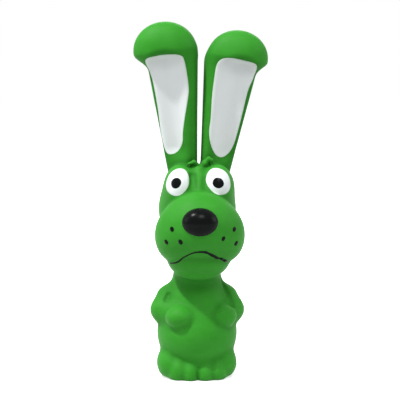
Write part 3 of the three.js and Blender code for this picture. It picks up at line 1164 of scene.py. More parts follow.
LEFT_EAR = Ear(
    side=-1, root=(-9.53, 4.99, 134), lean=8.2, length=96.8, tip_width=40.4, tip_over=18.2, tip_under=7.8,
    blade_radii=(9, 14.8), roll_ends=(-4.5, -13.6), lining=(
        (0.66, 0.765), (0.3, 0.782), (-0.1, 0.78), (-0.43, 0.765), (-0.56, 0.725), (-0.58, 0.55),
        (-0.48, 0.455), (-0.32, 0.348), (-0.2, 0.255), (-0.14, 0.187), (0.02, 0.134), (0.25, 0.116),
        (0.43, 0.14), (0.5, 0.26), (0.49, 0.42), (0.51, 0.58), (0.57, 0.68),
    ),
)
RIGHT_EAR = Ear(
    side=1, root=(13.33, 4.99, 134), lean=10.5, length=91.6, tip_width=38.2, tip_over=17.2, tip_under=5.7,
    blade_radii=(8.4, 15.8), roll_ends=(-6.2, -14.2), lining=(
        (-0.7, 0.735), (-0.57, 0.778), (-0.3, 0.796), (0.1, 0.797), (0.62, 0.78), (0.62, 0.69),
        (0.52, 0.594), (0.49, 0.46), (0.46, 0.34), (0.4, 0.206), (0.28, 0.134), (0.08, 0.096),
        (-0.14, 0.104), (-0.36, 0.16), (-0.52, 0.25), (-0.56, 0.35), (-0.65, 0.5), (-0.7, 0.64),
    ),
)


def closed_curve(points: Points, steps: int) -> Points:
    """Draws a smooth closed curve through points, as a cubic from each to the next.

    Args:
        points: the places that it passes, in order.
        steps: how many places it is given as, for each of those points.

    Returns:
        The curve's places.
    """
    before, after, beyond = np.roll(points, 1, 0), np.roll(points, -1, 0), np.roll(points, -2, 0)
    curve = []
    for share in np.arange(steps) / steps:
        curve.append(0.5 * (
            2 * points + (after - before) * share
            + (2 * before - 5 * points + 4 * after - beyond) * share ** 2
            + (3 * points - before - 3 * after + beyond) * share ** 3
        ))
    return np.stack(curve, 1).reshape(-1, points.shape[1])


def area(x: Values, z: Values) -> float:
    """Measures a closed outline, with a minus sign when it runs with the clock."""
    return float((x * np.roll(z, -1) - np.roll(x, -1) * z).sum() / 2)


@dataclass
class Base:
    """The hole in the base with its inner collar and the sunk seat of the squeaker's flange.

    The clay reaches cut below the floor, which takes that off. The bore runs beyond the floor and the
    collar, and a turned form keeps core away from the axis. The seat's edge bends once, at edge_middle
    of its width.
    """

    hole_radius: float = 9.3
    seat_radius: float = 12.3
    seat_depth: float = 1.9
    cut: float = 0.4
    floor_half: float = 60
    collar_radius: float = 14
    collar_bottom: float = 1.2
    collar_top: float = 5.3
    edge: float = 0.5
    edge_middle: float = 0.3
    beyond: float = 1
    core: float = 0.01
    segments: int = 96

    def collar(self) -> Mesh:
        """Makes the collar as a plug that the hole is then cut through.

        Returns:
            The plug, with a hair-thin hole along its axis.
        """
        low, high = self.collar_bottom, self.collar_top
        profile = ((self.core, low), (self.collar_radius, low), (self.collar_radius, high), (self.core, high))
        return lathe(profile, self.segments)

    def below(self) -> Mesh:
        """Makes what the floor takes away, so that the base is flat.

        Returns:
            A closed block whose top is the floor.
        """
        corners = [(x, y, z) for z in (-self.floor_half, 0) for x, y in square(self.floor_half)]
        faces = [(3, 2, 1, 0), (4, 5, 6, 7), (0, 1, 5, 4), (1, 2, 6, 5), (2, 3, 7, 6), (3, 0, 4, 7)]
        return Mesh(np.array(corners, float), faces)

    def bore(self) -> Mesh:
        """Makes what the hole and the flange's seat take away, with rounded edges.

        Returns:
            The cutter, which passes a little beyond the floor and the collar.
        """
        hole, seat, edge = self.hole_radius, self.seat_radius, self.edge
        bend, top = edge * self.edge_middle, self.collar_top + self.beyond
        profile = (
            (self.core, -self.beyond), (seat + edge, -self.beyond), (seat + edge, 0), (seat + bend, bend),
            (seat, edge), (seat, self.seat_depth), (hole + edge, self.seat_depth),
            (hole, self.seat_depth + edge), (hole, top), (self.core, top),
        )
        return lathe(profile, self.segments)


@dataclass
class Skin:
    """The hollow moulded skin of head, ears and torso.

    A crease is felt for at each of the reaches. Edges are sharp from sharp_angle on, in degrees.
    """

    torso: Torso
    head: Head
    ears: tuple[Ear, ...]
    base: Base
    wall: float = 2.2
    base_rounding: float = 2.5
    neck_blend: float = 5
    ear_blend: float = 2.5
    leaf_blend: float = 1.2
    fine_cell: float = 0.95
    coarse_cell: float = 2.4
    low: Place = (-46, -50, -5)
    high: Place = (52, 38, 236)
    hollow_smoothing: int = 1
    crease_reaches: tuple[float, float] = (2.2, 6)
    crease_step: float = 0.3
    sharp_angle: float = 50

    def outside(self) -> Clay:
        """Presses the whole outside together.

        Returns:
            The outside with its flat base.
        """
        clay = self.head.clay().press(self.torso.clay(), self.neck_blend)
        for ear in self.ears:
            clay.press(ear.leaning(), self.ear_blend)
        for leaf in self.head.leaves:
            clay.press(leaf.clay(), self.leaf_blend)
        return clay.carve(Below(-self.base.cut), self.base_rounding)

    def inside(self) -> Distance:
        """Works out the hollow, which lies a wall's thickness within a plainer outside.

        Returns:
            The distance to the hollow's surface.
        """
        clay = self.head.clay(False).press(self.torso.clay(False), self.neck_blend)
        for ear in self.ears:
            clay.press(ear.leaning(), self.ear_blend)
        clay.carve(Below(-self.base.cut), self.base_rounding)
        return lambda points: clay.distance(points) + self.wall

    def crease(self, distance: Distance, points: Points) -> Values:
        """Measures how deep in a crease each point lies; the latex paints shade from this value.

        Args:
            distance: the outside's distance.
            points: places on it or on the hollow.

        Returns:
            A value for each, from 0 on open skin to 1.
        """
        facing = normals(distance, points, self.crease_step)
        shade = np.zeros(len(points))
        for reach in self.crease_reaches:
            shade += np.clip(1 - distance((points + facing * reach).astype(np.float32)) / reach, 0, 1)
        return shade / len(self.crease_reaches)

    def build(self, bench: Bench, material: bpy.types.Material) -> bpy.types.Object:
        """Makes the skin.

        Args:
            bench: what puts it into the frame.
            material: the latex.

        Returns:
            The skin as one closed piece, hollow and open at its base.
        """
        clay = self.outside()
        fine = SurfaceNet(self.fine_cell, self.low, self.high)
        coarse = SurfaceNet(self.coarse_cell, self.low, self.high, self.hollow_smoothing)
        skin = bench.piece("latex_body", fine.mesh(clay.distance), material)
        for name, mesh, cut in (
            ("hollow", coarse.mesh(self.inside()), Cut.TAKE),
            ("collar", self.base.collar(), Cut.ADD),
            ("below", self.base.below(), Cut.TAKE),
            ("bore", self.base.bore(), Cut.TAKE),
        ):
            combine(skin, bench.piece(name, mesh, material), cut)
        corners = np.empty(len(skin.data.vertices) * 3, np.float32)
        skin.data.vertices.foreach_get("co", corners)
        points = ((corners.reshape(-1, 3) - np.array(bench.shift, np.float32)) / MM).astype(np.float32)
        # This crease value gives the latex its painted shade in creases.
        keep_mark(skin, Mark.CREASE, self.crease(clay.distance, points))
        skin.data.shade_smooth()
        skin.data.set_sharp_from_angle(angle=math.radians(self.sharp_angle))
        hand_over(skin, "toy", "green_latex", ["latex_skin"])
        return skin


# Paint


@dataclass
class Brush:
    """Lays films of paint on the front of a body, as thin closed pieces sunk a little into it.

    A line from the front goes on by a share of its distance to the body, which is its pace, so that it
    doesn't pass through. An outline stays where its lines end within miss of the body and the body faces
    the front by least_facing. A film keeps its thickness up to round_from of the way to its rim, and
    from there rounds off to rim_sunk below the surface. Its underside lies deeper, at sunk.
    """

    distance: Distance
    start: float = -70
    end: float = 30
    pace: float = 0.7
    least_step: float = 0.15
    steps: int = 60
    halvings: int = 16
    miss: float = 0.1
    least_facing: float = 0.22
    thickness: float = 0.14
    sunk: float = 0.3
    rim_sunk: float = 0.06
    round_from: float = 0.93
    first_ring: float = 0.03

    def front(self, x: Values, z: Values) -> Points:
        """Finds where lines that run backwards first meet the body.

        Args:
            x: each line's x.
            z: each line's z.

        Returns:
            The meeting points.
        """
        y = np.full(len(x), self.start, np.float32)
        before = y.copy()

        def at(depth: Values) -> Values:
            """Gives the distance of each line's point at a depth."""
            return self.distance(np.stack([x, depth, z], -1).astype(np.float32))

        for _ in range(self.steps):
            gap = at(y)
            outside = gap > 0
            before = np.where(outside, y, before)
            step = np.maximum(gap * self.pace, self.least_step)
            y = np.where(outside & (y < self.end), y + step, y)
        for _ in range(self.halvings):
            middle = (before + y) / 2
            outside = at(middle) > 0
            before = np.where(outside, middle, before)
            y = np.where(outside, y, middle)
        return np.stack([x, y, z], -1).astype(np.float32)

    def film(self, x: Values, z: Values, spine: tuple[Sequence[float], Sequence[float]], lift: float = 0,
             rings: int = 20) -> tuple[Mesh, Values]:
        """Makes a film inside an outline that is drawn from the front.

        Args:
            x: the outline's x, against the clock.
            z: the outline's z.
            spine: the ends of the line that the rings shrink onto.
            lift: how far above the body the film starts.
            rings: how many rings it has.

        Returns:
            The film, and how near to its rim each corner is, from 0 to 1.
        """
        foot, crown = np.array(spine[0]), np.array(spine[1])
        run = crown - foot
        outline = np.stack([x, z], -1)
        share = np.clip((outline - foot) @ run / max(run @ run, TINY), 0, 1)
        anchor = foot + share[:, None] * run
        outline = self.kept_on(outline, anchor)
        nearness = np.sin(np.linspace(self.first_ring, math.pi / 2, rings))
        plane = anchor[None] + nearness[:, None, None] * (outline - anchor)[None]
        points = self.front(plane[..., 0].ravel(), plane[..., 1].ravel())
        facing = normals(self.distance, points)
        facing /= np.linalg.norm(facing, axis=-1, keepdims=True)
        rim = np.repeat(nearness, len(x))
        over = np.maximum(rim - self.round_from, 0) / (1 - self.round_from)
        full = np.sqrt(np.clip(1 - over ** 2, 0, 1))
        top = points + facing * (lift + self.thickness * full - self.rim_sunk * (1 - full))[:, None]
        bottom = points + facing * (lift - self.sunk)
        faces = self.film_faces(len(x), rings)
        return Mesh(np.concatenate([top, bottom]), faces), np.concatenate([rim, rim])

    def kept_on(self, outline: Points, anchor: Points, steps: int = 40, least_share: float = 0.6) -> Points:
        """Draws an outline in towards its anchors wherever it runs off the body or round its edge.

        Args:
            outline: the outline's x and z.
            anchor: the place that each of its points may move towards.
            steps: how many shares of the way are tried.
            least_share: the smallest of those shares.

        Returns:
            The outline on the body.
        """
        shares = np.linspace(least_share, 1, steps)
        tried = (anchor + shares[:, None, None] * (outline - anchor)).astype(np.float32)
        points = self.front(tried[..., 0].ravel(), tried[..., 1].ravel())
        facing = normals(self.distance, points)
        met = (np.abs(self.distance(points)) < self.miss) & (-facing[:, 1] > self.least_facing)
        best = np.where(met.reshape(tried.shape[:2]), shares[:, None], least_share).max(0)
        return anchor + best[:, None] * (outline - anchor)

    @staticmethod
    def film_faces(around: int, rings: int) -> list[tuple[int, ...]]:
        """Joins a film's rings: its top, its bottom, the side between them and the two middles.

        Args:
            around: how many corners a ring has.
            rings: how many rings the top has, and so the bottom too.

        Returns:
            Each face's corner numbers.
        """
        bottom = around * rings
        faces = []
        for ring in range(rings - 1):
            for step in range(around):
                after = (step + 1) % around
                here, there = ring * around, (ring + 1) * around
                faces.append((here + step, there + step, there + after, here + after))
                here, there = bottom + here, bottom + there
                faces.append((here + step, here + after, there + after, there + step))
        last = (rings - 1) * around
        for step in range(around):
            after = (step + 1) % around
            faces.append((last + step, bottom + last + step, bottom + last + after, last + after))
        half = around // 2
        for step in range(half - 1):
            near, far = step, around - 1 - step
            faces.append((near, near + 1, far - 1, far))
            faces.append((bottom + near, bottom + far, bottom + far - 1, bottom + near + 1))
        return faces


@dataclass(frozen=True)
class Oval:
    """An ellipse as a hand draws it, turned against the clock by some degrees.

    It strays by a share of its radii, which is its wobble, in waves that go so many times round.
    """

    at: tuple[float, float]
    radii: tuple[float, float]
    turn: float
    seed: int
    wobble: float
    steps: int
    waves: tuple[int, ...] = (2, 3, 5)

    def outline(self) -> tuple[Values, Values]:
        """Draws the ellipse, against the clock.

        Returns:
            Its places' x and z.
        """
        angle = np.arange(self.steps) * 2 * math.pi / self.steps
        random = np.random.default_rng(self.seed)
        stray = np.ones(self.steps)
        for waves in self.waves:
            phase = random.uniform(0, 2 * math.pi)
            stray += self.wobble / math.sqrt(waves) * np.sin(waves * angle + phase)
        across, up = self.radii[0] * stray * np.cos(angle), self.radii[1] * stray * np.sin(angle)
        cosine, sine = math.cos(math.radians(self.turn)), math.sin(math.radians(self.turn))
        return self.at[0] + (across * cosine - up * sine), self.at[1] + (across * sine + up * cosine)


@dataclass(frozen=True)
class Eye:
    """One painted eye, with its white and its pupil."""

    side: str
    white: Oval
    pupil: Oval


@dataclass(frozen=True)
class Paint:
    """A paint that is ready for use, and its slot in the record."""

    slot: str
    material: bpy.types.Material

    def hand_over(self, bench: Bench, name: str, film: Mesh, rim: Values, node: str) -> None:
        """Makes a piece of a film of this paint and hands it over.

        Args:
            bench: what puts it into the frame.
            name: the piece's name.
            film: its mesh.
            rim: how near to its rim each corner is, from 0 to 1.
            node: the CAD node that it replaces.
        """
        piece = bench.piece(name, film, self.material)
        keep_mark(piece, Mark.RIM, rim)
        hand_over(piece, "toy", self.slot, [node])


@dataclass
class PaintedFace:
    """The eyes, the nose, the whisker dots and the mouth line.

    The nose's film ends nose_overlap inside the bare muzzle, or nose_reach of a half turn from its front.
    Its rim is marked only nose_rim, so that it is painted as thickly as its middle.
    """

    brush: Brush
    head: Head
    eyes: tuple[Eye, ...] = (
        Eye(
            "left",
            white=Oval((-13.1, 127.8), (7, 8.9), turn=-30, seed=0, wobble=0.022, steps=96),
            pupil=Oval((-14.2, 127.5), (3, 3.5), turn=-35, seed=5, wobble=0.02, steps=64),
        ),
        Eye(
            "right",
            white=Oval((13, 128.2), (7.4, 8.8), turn=30, seed=1, wobble=0.022, steps=96),
            pupil=Oval((12.6, 127.5), (3.6, 3.25), turn=-10, seed=6, wobble=0.02, steps=64),
        ),
    )
    pupil_rings: int = 12
    nose_overlap: float = 0.5
    nose_reach: float = 0.7
    nose_first_ring: float = 0.02
    nose_rim: float = 0.85
    dots: tuple[tuple[str, Path], ...] = (
        ("left", ((-17.5, 100), (-21, 91.5), (-12.2, 92.1))),
        ("right", ((22, 99.4), (14.8, 94.1), (23.3, 90.2))),
    )
    dot_radii: tuple[float, float] = (1.3, 1.65)
    dot_dome: float = 0.45
    dot_seed: int = 3
    mouth: Path = (
        (-18.6, 76.4), (-16.2, 76.9), (-13.4, 78.3), (-10.4, 81.2), (-7.6, 83.2), (-4.2, 84.9), (-0.8, 85.6),
        (2.7, 85.6), (4.9, 84.9), (7.2, 83.5), (9.5, 82.2), (11.2, 81), (13.5, 80.5), (15.7, 79.2),
        (18.1, 77.7),
    )
    mouth_radii: tuple[float, float] = (0.56, 1.1)
    mouth_sunk_share: float = 0.4
    mouth_seed: int = 11

    def paint_eyes(self, bench: Bench, white: Paint, black: Paint) -> None:
        """Paints each white and then its pupil over it.

        Args:
            bench: what puts them into the frame.
            white: the paint of the whites.
            black: the paint of the pupils.
        """
        for eye in self.eyes:
            at = eye.white.at
            film, rim = self.brush.film(*eye.white.outline(), (at, at))
            white.hand_over(bench, f"eye_paint_{eye.side}", film, rim, f"eye_white_{eye.side}")
            at, lift = eye.pupil.at, self.brush.thickness
            film, rim = self.brush.film(*eye.pupil.outline(), (at, at), lift, self.pupil_rings)
            black.hand_over(bench, f"pupil_paint_{eye.side}", film, rim, f"pupil_{eye.side}")

    def paint_nose(self, bench: Bench, black: Paint, around: int = 120, rings: int = 36) -> None:
        """Paints the nose from its front back to where it meets the muzzle.

        Args:
            bench: what puts it into the frame.
            black: the paint.
            around: how many corners each ring of the film has.
            rings: how many rings there are from the front to the rim.
        """
        head = self.head
        bare = Clay(head.muzzle).press(Mirrored(head.jowl, head.muzzle.at[0]), head.jowl_blend)
        radii = np.array(head.nose.size) / 2
        middle = np.array(head.nose.at)
        angle = np.arange(around) * 2 * math.pi / around

        def reach(bend: Values, turn: Values, out: float) -> Points:
            """Finds places on the nose.

            Args:
                bend: how far each is bent away from the front, in radians.
                turn: how far each is turned about the front, in radians.
                out: how far above the nose they are, in millimetres.

            Returns:
                The places.
            """
            ball = np.stack([np.sin(bend) * np.cos(turn), -np.cos(bend), np.sin(bend) * np.sin(turn)], -1)
            return (middle + ball * (radii + out)).astype(np.float32)

        low, high = np.zeros(around), np.full(around, math.pi * self.nose_reach)
        for _ in range(self.brush.halvings):
            bend = (low + high) / 2
            free = bare.distance(reach(bend, angle, 0)) > -self.nose_overlap
            low, high = np.where(free, bend, low), np.where(free, high, bend)
        share = np.linspace(self.nose_first_ring, 1, rings)
        bends, turns = np.outer(share, low).ravel(), np.tile(angle, rings)
        top = reach(bends, turns, self.brush.thickness)
        bottom = reach(bends, turns, -self.brush.sunk)
        film = Mesh(np.concatenate([top, bottom]), self.brush.film_faces(around, rings))
        rim = np.tile(np.repeat(share, around), 2) * self.nose_rim
        black.hand_over(bench, "nose_paint", film, rim, "nose_black")

    def paint_dots(self, bench: Bench, skin: bpy.types.Object, black: Paint) -> None:
        """Sets the whisker dots on the skin, three to a side.

        Args:
            bench: what puts them into the frame.
            skin: what they lie on.
            black: the paint.
        """
        tree = DotTree()
        for seed, (side, places) in enumerate(self.dots, self.dot_seed):
            corners = np.array([(x, self.brush.start, z) for x, z in places])
            piece = bench.piece(f"whisker_paint_{side}", Mesh(corners, []), black.material)
            tree.apply(piece, {
                "Skin": skin, "Finish": black.material, "Seed": seed, "Dome": self.dot_dome * MM,
                "Half width": self.dot_radii[0] * MM, "Half height": self.dot_radii[1] * MM,
            })
            hand_over(piece, "toy", black.slot, [f"whisker_dot_{side}_{count}" for count in (1, 2, 3)])

    def paint_mouth(self, bench: Bench, skin: bpy.types.Object, black: Paint) -> None:
        """Draws the mouth line along the crease under the muzzle.

        Args:
            bench: what puts it into the frame.
            skin: what it lies on.
            black: the paint.
        """
        corners = np.array([(x, self.brush.start, z) for x, z in self.mouth])
        data = bpy.data.meshes.new("mouth_paint")
        edges = [(index, index + 1) for index in range(len(corners) - 1)]
        data.from_pydata(bench.place(corners).tolist(), edges, [])
        piece = bpy.data.objects.new("mouth_paint", data)
        bpy.context.scene.collection.objects.link(piece)
        LineTree().apply(piece, {
            "Skin": skin, "Finish": black.material, "Seed": self.mouth_seed,
            "Thin": self.mouth_radii[0] * MM, "Thick": self.mouth_radii[1] * MM,
            "Sunk share": self.mouth_sunk_share,
        })
        hand_over(piece, "toy", black.slot, ["mouth_line"])


@dataclass
class EarLinings:
    """The white paint in the dish of each ear, whose rings shrink onto a line up the dish."""

    brush: Brush
    ears: tuple[Ear, ...]
    line_across: float = 0.04
    line_ends: tuple[float, float] = (0.2, 0.68)
    steps: int = 10
    rings: int = 34

    def paint(self, bench: Bench, white: Paint) -> None:
        """Paints both linings.

        Args:
            bench: what puts them into the frame.
            white: the paint.
        """
        for ear in self.ears:
            name = "left" if ear.side < 0 else "right"
            leaning, across = ear.leaning(), self.line_across * ear.tip_width
            foot, crown = (leaning.stand(across, share * ear.length) for share in self.line_ends)
            film, rim = self.brush.film(*ear.outline(self.steps), (foot, crown), rings=self.rings)
            white.hand_over(bench, f"ear_paint_{name}", film, rim, f"ear_lining_{name}")


# Geometry Nodes


class GeometryTree:
    """A Geometry Nodes tree with named inputs, and the way to apply it to a piece."""

    ray_length: float = 0.2

    def __init__(self, name: str, inputs: dict[str, str]) -> None:
        """Starts a tree.

        Args:
            name: the tree's name.
            inputs: each input's name and socket type.
        """
        self.tree = bpy.data.node_groups.new(name, "GeometryNodeTree")
        interface = self.tree.interface
        interface.new_socket(name="Geometry", in_out="OUTPUT", socket_type="NodeSocketGeometry")
        for label, kind in ({"Geometry": "NodeSocketGeometry"} | inputs).items():
            interface.new_socket(name=label, in_out="INPUT", socket_type=kind)
        self.board = NodeBoard(self.tree)
        self.given = self.board.add("NodeGroupInput").outputs
        self.result = self.board.add("NodeGroupOutput").inputs[0]

    def value(self, name: str) -> Wire:
        """Wraps a named number input."""
        return Wire(self.board, self.given[name])

    def skin_below(self) -> tuple[bpy.types.NodeSocket, bpy.types.NodeSocket]:
        """Finds where a line backwards from each point meets the skin.

        Returns:
            The meeting point and the skin's facing there.
        """
        skin = self.board.add("GeometryNodeObjectInfo", {}, {"Object": self.given["Skin"]})
        sockets = {
            "Target Geometry": skin.outputs["Geometry"], "Ray Direction": (0, 1, 0),
            "Ray Length": self.ray_length,
        }
        ray = self.board.add("GeometryNodeRaycast", {"data_type": "FLOAT_VECTOR"}, sockets)
        return ray.outputs["Hit Position"], ray.outputs["Hit Normal"]

    def captured(
        self, geometry: bpy.types.NodeSocket, fields: dict[str, bpy.types.NodeSocket],
    ) -> tuple[bpy.types.NodeSocket, list[bpy.types.NodeSocket]]:
        """Keeps vector fields on the points before they move.

        Args:
            geometry: the points.
            fields: a name and a field for each value.

        Returns:
            The points with the values, and the kept values.
        """
        node = self.board.add("GeometryNodeCaptureAttribute", {}, {"Geometry": geometry})
        kept = []
        for name, socket in fields.items():
            node.capture_items.new("VECTOR", name)
            self.tree.links.new(socket, node.inputs[name])
            kept.append(node.outputs[name])
        return node.outputs["Geometry"], kept

    def finish(self, geometry: bpy.types.NodeSocket) -> None:
        """Makes the instances real, sets the finish and ends the tree.

        Args:
            geometry: what the tree has made.
        """
        real = self.board.add("GeometryNodeRealizeInstances", {}, {"Geometry": geometry}).outputs[0]
        smooth = self.board.add("GeometryNodeSetShadeSmooth", {}, {"Geometry": real}).outputs[0]
        sockets = {"Geometry": smooth, "Material": self.given["Finish"]}
        self.tree.links.new(self.board.add("GeometryNodeSetMaterial", {}, sockets).outputs[0], self.result)

    def apply(self, piece: bpy.types.Object, values: dict[str, object]) -> None:
        """Runs the tree on a piece and keeps the result as its plain mesh.

        Args:
            piece: what the tree works on.
            values: each named input's value.
        """
        modifier = piece.modifiers.new(self.tree.name, "NODES")
        modifier.node_group = self.tree
        for item in self.tree.interface.items_tree:
            if item.name in values:
                modifier[item.identifier] = values[item.name]
        flatten(piece)


SKIN_INPUTS = {"Skin": "NodeSocketObject", "Finish": "NodeSocketMaterial", "Seed": "NodeSocketInt"}


class DotTree(GeometryTree):
    """Sets a small domed oval of paint on the skin behind each point, with its size varied a little."""

    segments: int = 32
    rings: int = 12
    sizes: tuple[float, float] = (0.92, 1.1)

    def __init__(self) -> None:
        """Builds the tree."""
        lengths = {name: "NodeSocketFloat" for name in ("Half width", "Half height", "Dome")}
        super().__init__("paint_dots", SKIN_INPUTS | lengths)
        add = self.board.add
        hit, facing = self.skin_below()
        points, (hit, facing) = self.captured(self.given["Geometry"], {"Hit": hit, "Facing": facing})
        points = add("GeometryNodeSetPosition", {}, {"Geometry": points, "Position": hit}).outputs[0]
        sockets = {"Segments": self.segments, "Rings": self.rings, "Radius": 1.0}
        ball = add("GeometryNodeMeshUVSphere", {}, sockets).outputs["Mesh"]
        sockets = {"X": self.value("Half width"), "Y": self.value("Half height"), "Z": self.value("Dome")}
        scale = add("ShaderNodeCombineXYZ", {}, sockets).outputs[0]
        dot = add("GeometryNodeTransform", {}, {"Geometry": ball, "Scale": scale}).outputs[0]
        turn = add("FunctionNodeAlignRotationToVector", {"axis": "Z"}, {"Vector": facing}).outputs[0]
        random = add("FunctionNodeRandomValue", {"data_type": "FLOAT"}, {"Seed": self.given["Seed"]})
        for name, bound in zip(("Min", "Max"), self.sizes):
            next(s for s in random.inputs if s.name == name and s.type == "VALUE").default_value = bound
        size = next(s for s in random.outputs if s.type == "VALUE")
        sockets = {"Points": points, "Instance": dot, "Rotation": turn, "Scale": size}
        self.finish(add("GeometryNodeInstanceOnPoints", {}, sockets).outputs[0])


class LineTree(GeometryTree):
    """Draws a line of paint along the skin behind a path, thin at its start and thick at its end.

    Spans are shares of the line: where it grows thick, where it comes in and where it goes out. The
    other shares are of its radius: its ends, what it loses as it goes out, and how far it wavers.
    """

    places: int = 140
    corners: int = 14
    growth_span: tuple[float, float] = (0.42, 0.68)
    start_span: tuple[float, float] = (0, 0.03)
    end_span: tuple[float, float] = (0.93, 1)
    end_loss: float = 0.55
    tip_share: float = 0.25
    waver: float = 1.3
    waver_scale: float = 420
    waver_detail: float = 2

    def __init__(self) -> None:
        """Builds the tree."""
        lengths = {name: "NodeSocketFloat" for name in ("Thin", "Thick", "Sunk share")}
        super().__init__("paint_line", SKIN_INPUTS | lengths)
        add = self.board.add
        path = add("GeometryNodeMeshToCurve", {}, {"Mesh": self.given["Geometry"]}).outputs[0]
        path = add("GeometryNodeCurveSplineType", {"spline_type": "CATMULL_ROM"}, {"Curve": path}).outputs[0]
        path = add("GeometryNodeResampleCurve", {}, {"Curve": path, "Count": self.places}).outputs[0]
        hit, facing = self.skin_below()
        path, (hit, facing) = self.captured(path, {"Hit": hit, "Facing": facing})
        radius = self.radius()
        sink = 0 - radius * self.value("Sunk share")
        offset = add("ShaderNodeVectorMath", {"operation": "SCALE"}, {0: facing, "Scale": sink}).outputs[0]
        sockets = {"Geometry": path, "Position": hit, "Offset": offset}
        path = add("GeometryNodeSetPosition", {}, sockets).outputs[0]
        path = add("GeometryNodeSetCurveRadius", {}, {"Curve": path, "Radius": radius}).outputs[0]
        sockets = {"Resolution": self.corners, "Radius": 1.0}
        ring = add("GeometryNodeCurvePrimitiveCircle", {"mode": "RADIUS"}, sockets).outputs[0]
        kept_radius = add("GeometryNodeInputRadius").outputs[0]
        sockets = {"Curve": path, "Profile Curve": ring, "Scale": kept_radius, "Fill Caps": True}
        self.finish(add("GeometryNodeCurveToMesh", {}, sockets).outputs[0])

    def radius(self) -> Wire:
        """Works out how the line's radius changes along it.

        Returns:
            The radius.
        """
        along = Wire(self.board, self.board.add("GeometryNodeSplineParameter").outputs["Factor"])
        sockets = {"W": self.given["Seed"], "Scale": self.waver_scale, "Detail": self.waver_detail}
        noise = self.board.add("ShaderNodeTexNoise", {"noise_dimensions": "4D"}, sockets)
        waver = Wire(self.board, noise.outputs[0]) - NOISE_MIDDLE
        growth = along.between(*self.growth_span)
        thin, thick = self.value("Thin"), self.value("Thick")
        ends = along.between(*self.start_span) * (1 - along.between(*self.end_span) * self.end_loss)
        plain = (thin + (thick - thin) * growth) * (1 + waver * growth * self.waver)
        return plain * (self.tip_share + ends * (1 - self.tip_share))


# Squeaker


@dataclass
class Squeaker:
    """The flanged cup and cap that are pushed into the base, round the reed and its two blocks.

    A radius or a height stands for each edge of the two turned pieces. The groove is the inner radius,
    the outer radius and the depth of the ring in the flange's face.
    """

    air_hole: float = 1.5
    flange: float = 12
    flange_bottom: float = 0.4
    flange_top: float = 1.6
    neck: float = 9
    snap_bottom: float = 5.6
    snap_top: float = 6.8
    snap: float = 10.5
    tube: float = 8
    tube_top: float = 14
    bore: float = 6.6
    cup_bottom: float = 2.2
    cap_hole: float = 2
    cap_bottom: float = 14.3
    cap_top: float = 15.5
    lip: float = 6.3
    lip_inside: float = 5.3
    lip_bottom: float = 13.3
    groove: tuple[float, float, float] = (5.2, 5.9, 0.25)
    edge: float = 0.25
    segments: int = 96
    sharp_angle: float = 40

    def housing(self) -> Mesh:
        """Turns the cup, with a shallow ring in the face of its flange.

        Returns:
            The cup.
        """
        inner, outer, depth = self.groove
        low = self.flange_bottom
        return lathe(rounded([
            (self.air_hole, self.cup_bottom), (self.air_hole, low), (inner, low), (inner, low + depth),
            (outer, low + depth), (outer, low), (self.flange, low), (self.flange, self.flange_top),
            (self.neck, self.flange_top), (self.neck, self.snap_bottom), (self.snap, self.snap_bottom),
            (self.tube, self.snap_top), (self.tube, self.tube_top), (self.bore, self.tube_top),
            (self.bore, self.cup_bottom),
        ], self.edge), self.segments)

    def cap(self) -> Mesh:
        """Turns the cap with its lip.

        Returns:
            The cap.
        """
        return lathe(rounded([
            (self.cap_hole, self.cap_bottom), (self.lip_inside, self.cap_bottom),
            (self.lip_inside, self.lip_bottom), (self.lip, self.lip_bottom), (self.lip, self.cap_bottom),
            (self.tube, self.cap_bottom), (self.tube, self.cap_top), (self.cap_hole, self.cap_top),
        ], self.edge), self.segments)

    def build(self, bench: Bench) -> None:
        """Makes the cup and the cap, and gives the reed and its blocks their finishes.

        Args:
            bench: what puts them into the frame.
        """
        plastic = POLYTHENE.material()
        for name, mesh, node in (
            ("squeaker_cup", self.housing(), "squeaker_housing"),
            ("squeaker_lid", self.cap(), "squeaker_cap"),
        ):
            piece = bench.piece(name, mesh, plastic)
            piece.data.set_sharp_from_angle(angle=math.radians(self.sharp_angle))
            hand_over(piece, "toy", "squeaker_plastic", [node])
        strip = CLEAR_STRIP.material()
        for node, material in (("reed_lay", plastic), ("reed_clamp", plastic), ("reed", strip)):
            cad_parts[node].data.materials.clear()
            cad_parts[node].data.materials.append(material)
            LOG.info("%s: dressed", node)


# Studio and camera


def seen_directly(board: NodeBoard) -> Wire:
    """Tells what the camera sees, also by reflection or through glass, from what only lights the toy.

    Args:
        board: the tree of a floor or a world.

    Returns:
        1 for a ray that shows it and 0 for any other.
    """
    path = board.add("ShaderNodeLightPath").outputs
    seen = Wire(board, path["Is Camera Ray"]) + Wire(board, path["Is Glossy Ray"])
    return (seen + Wire(board, path["Is Transmission Ray"])).clamped()


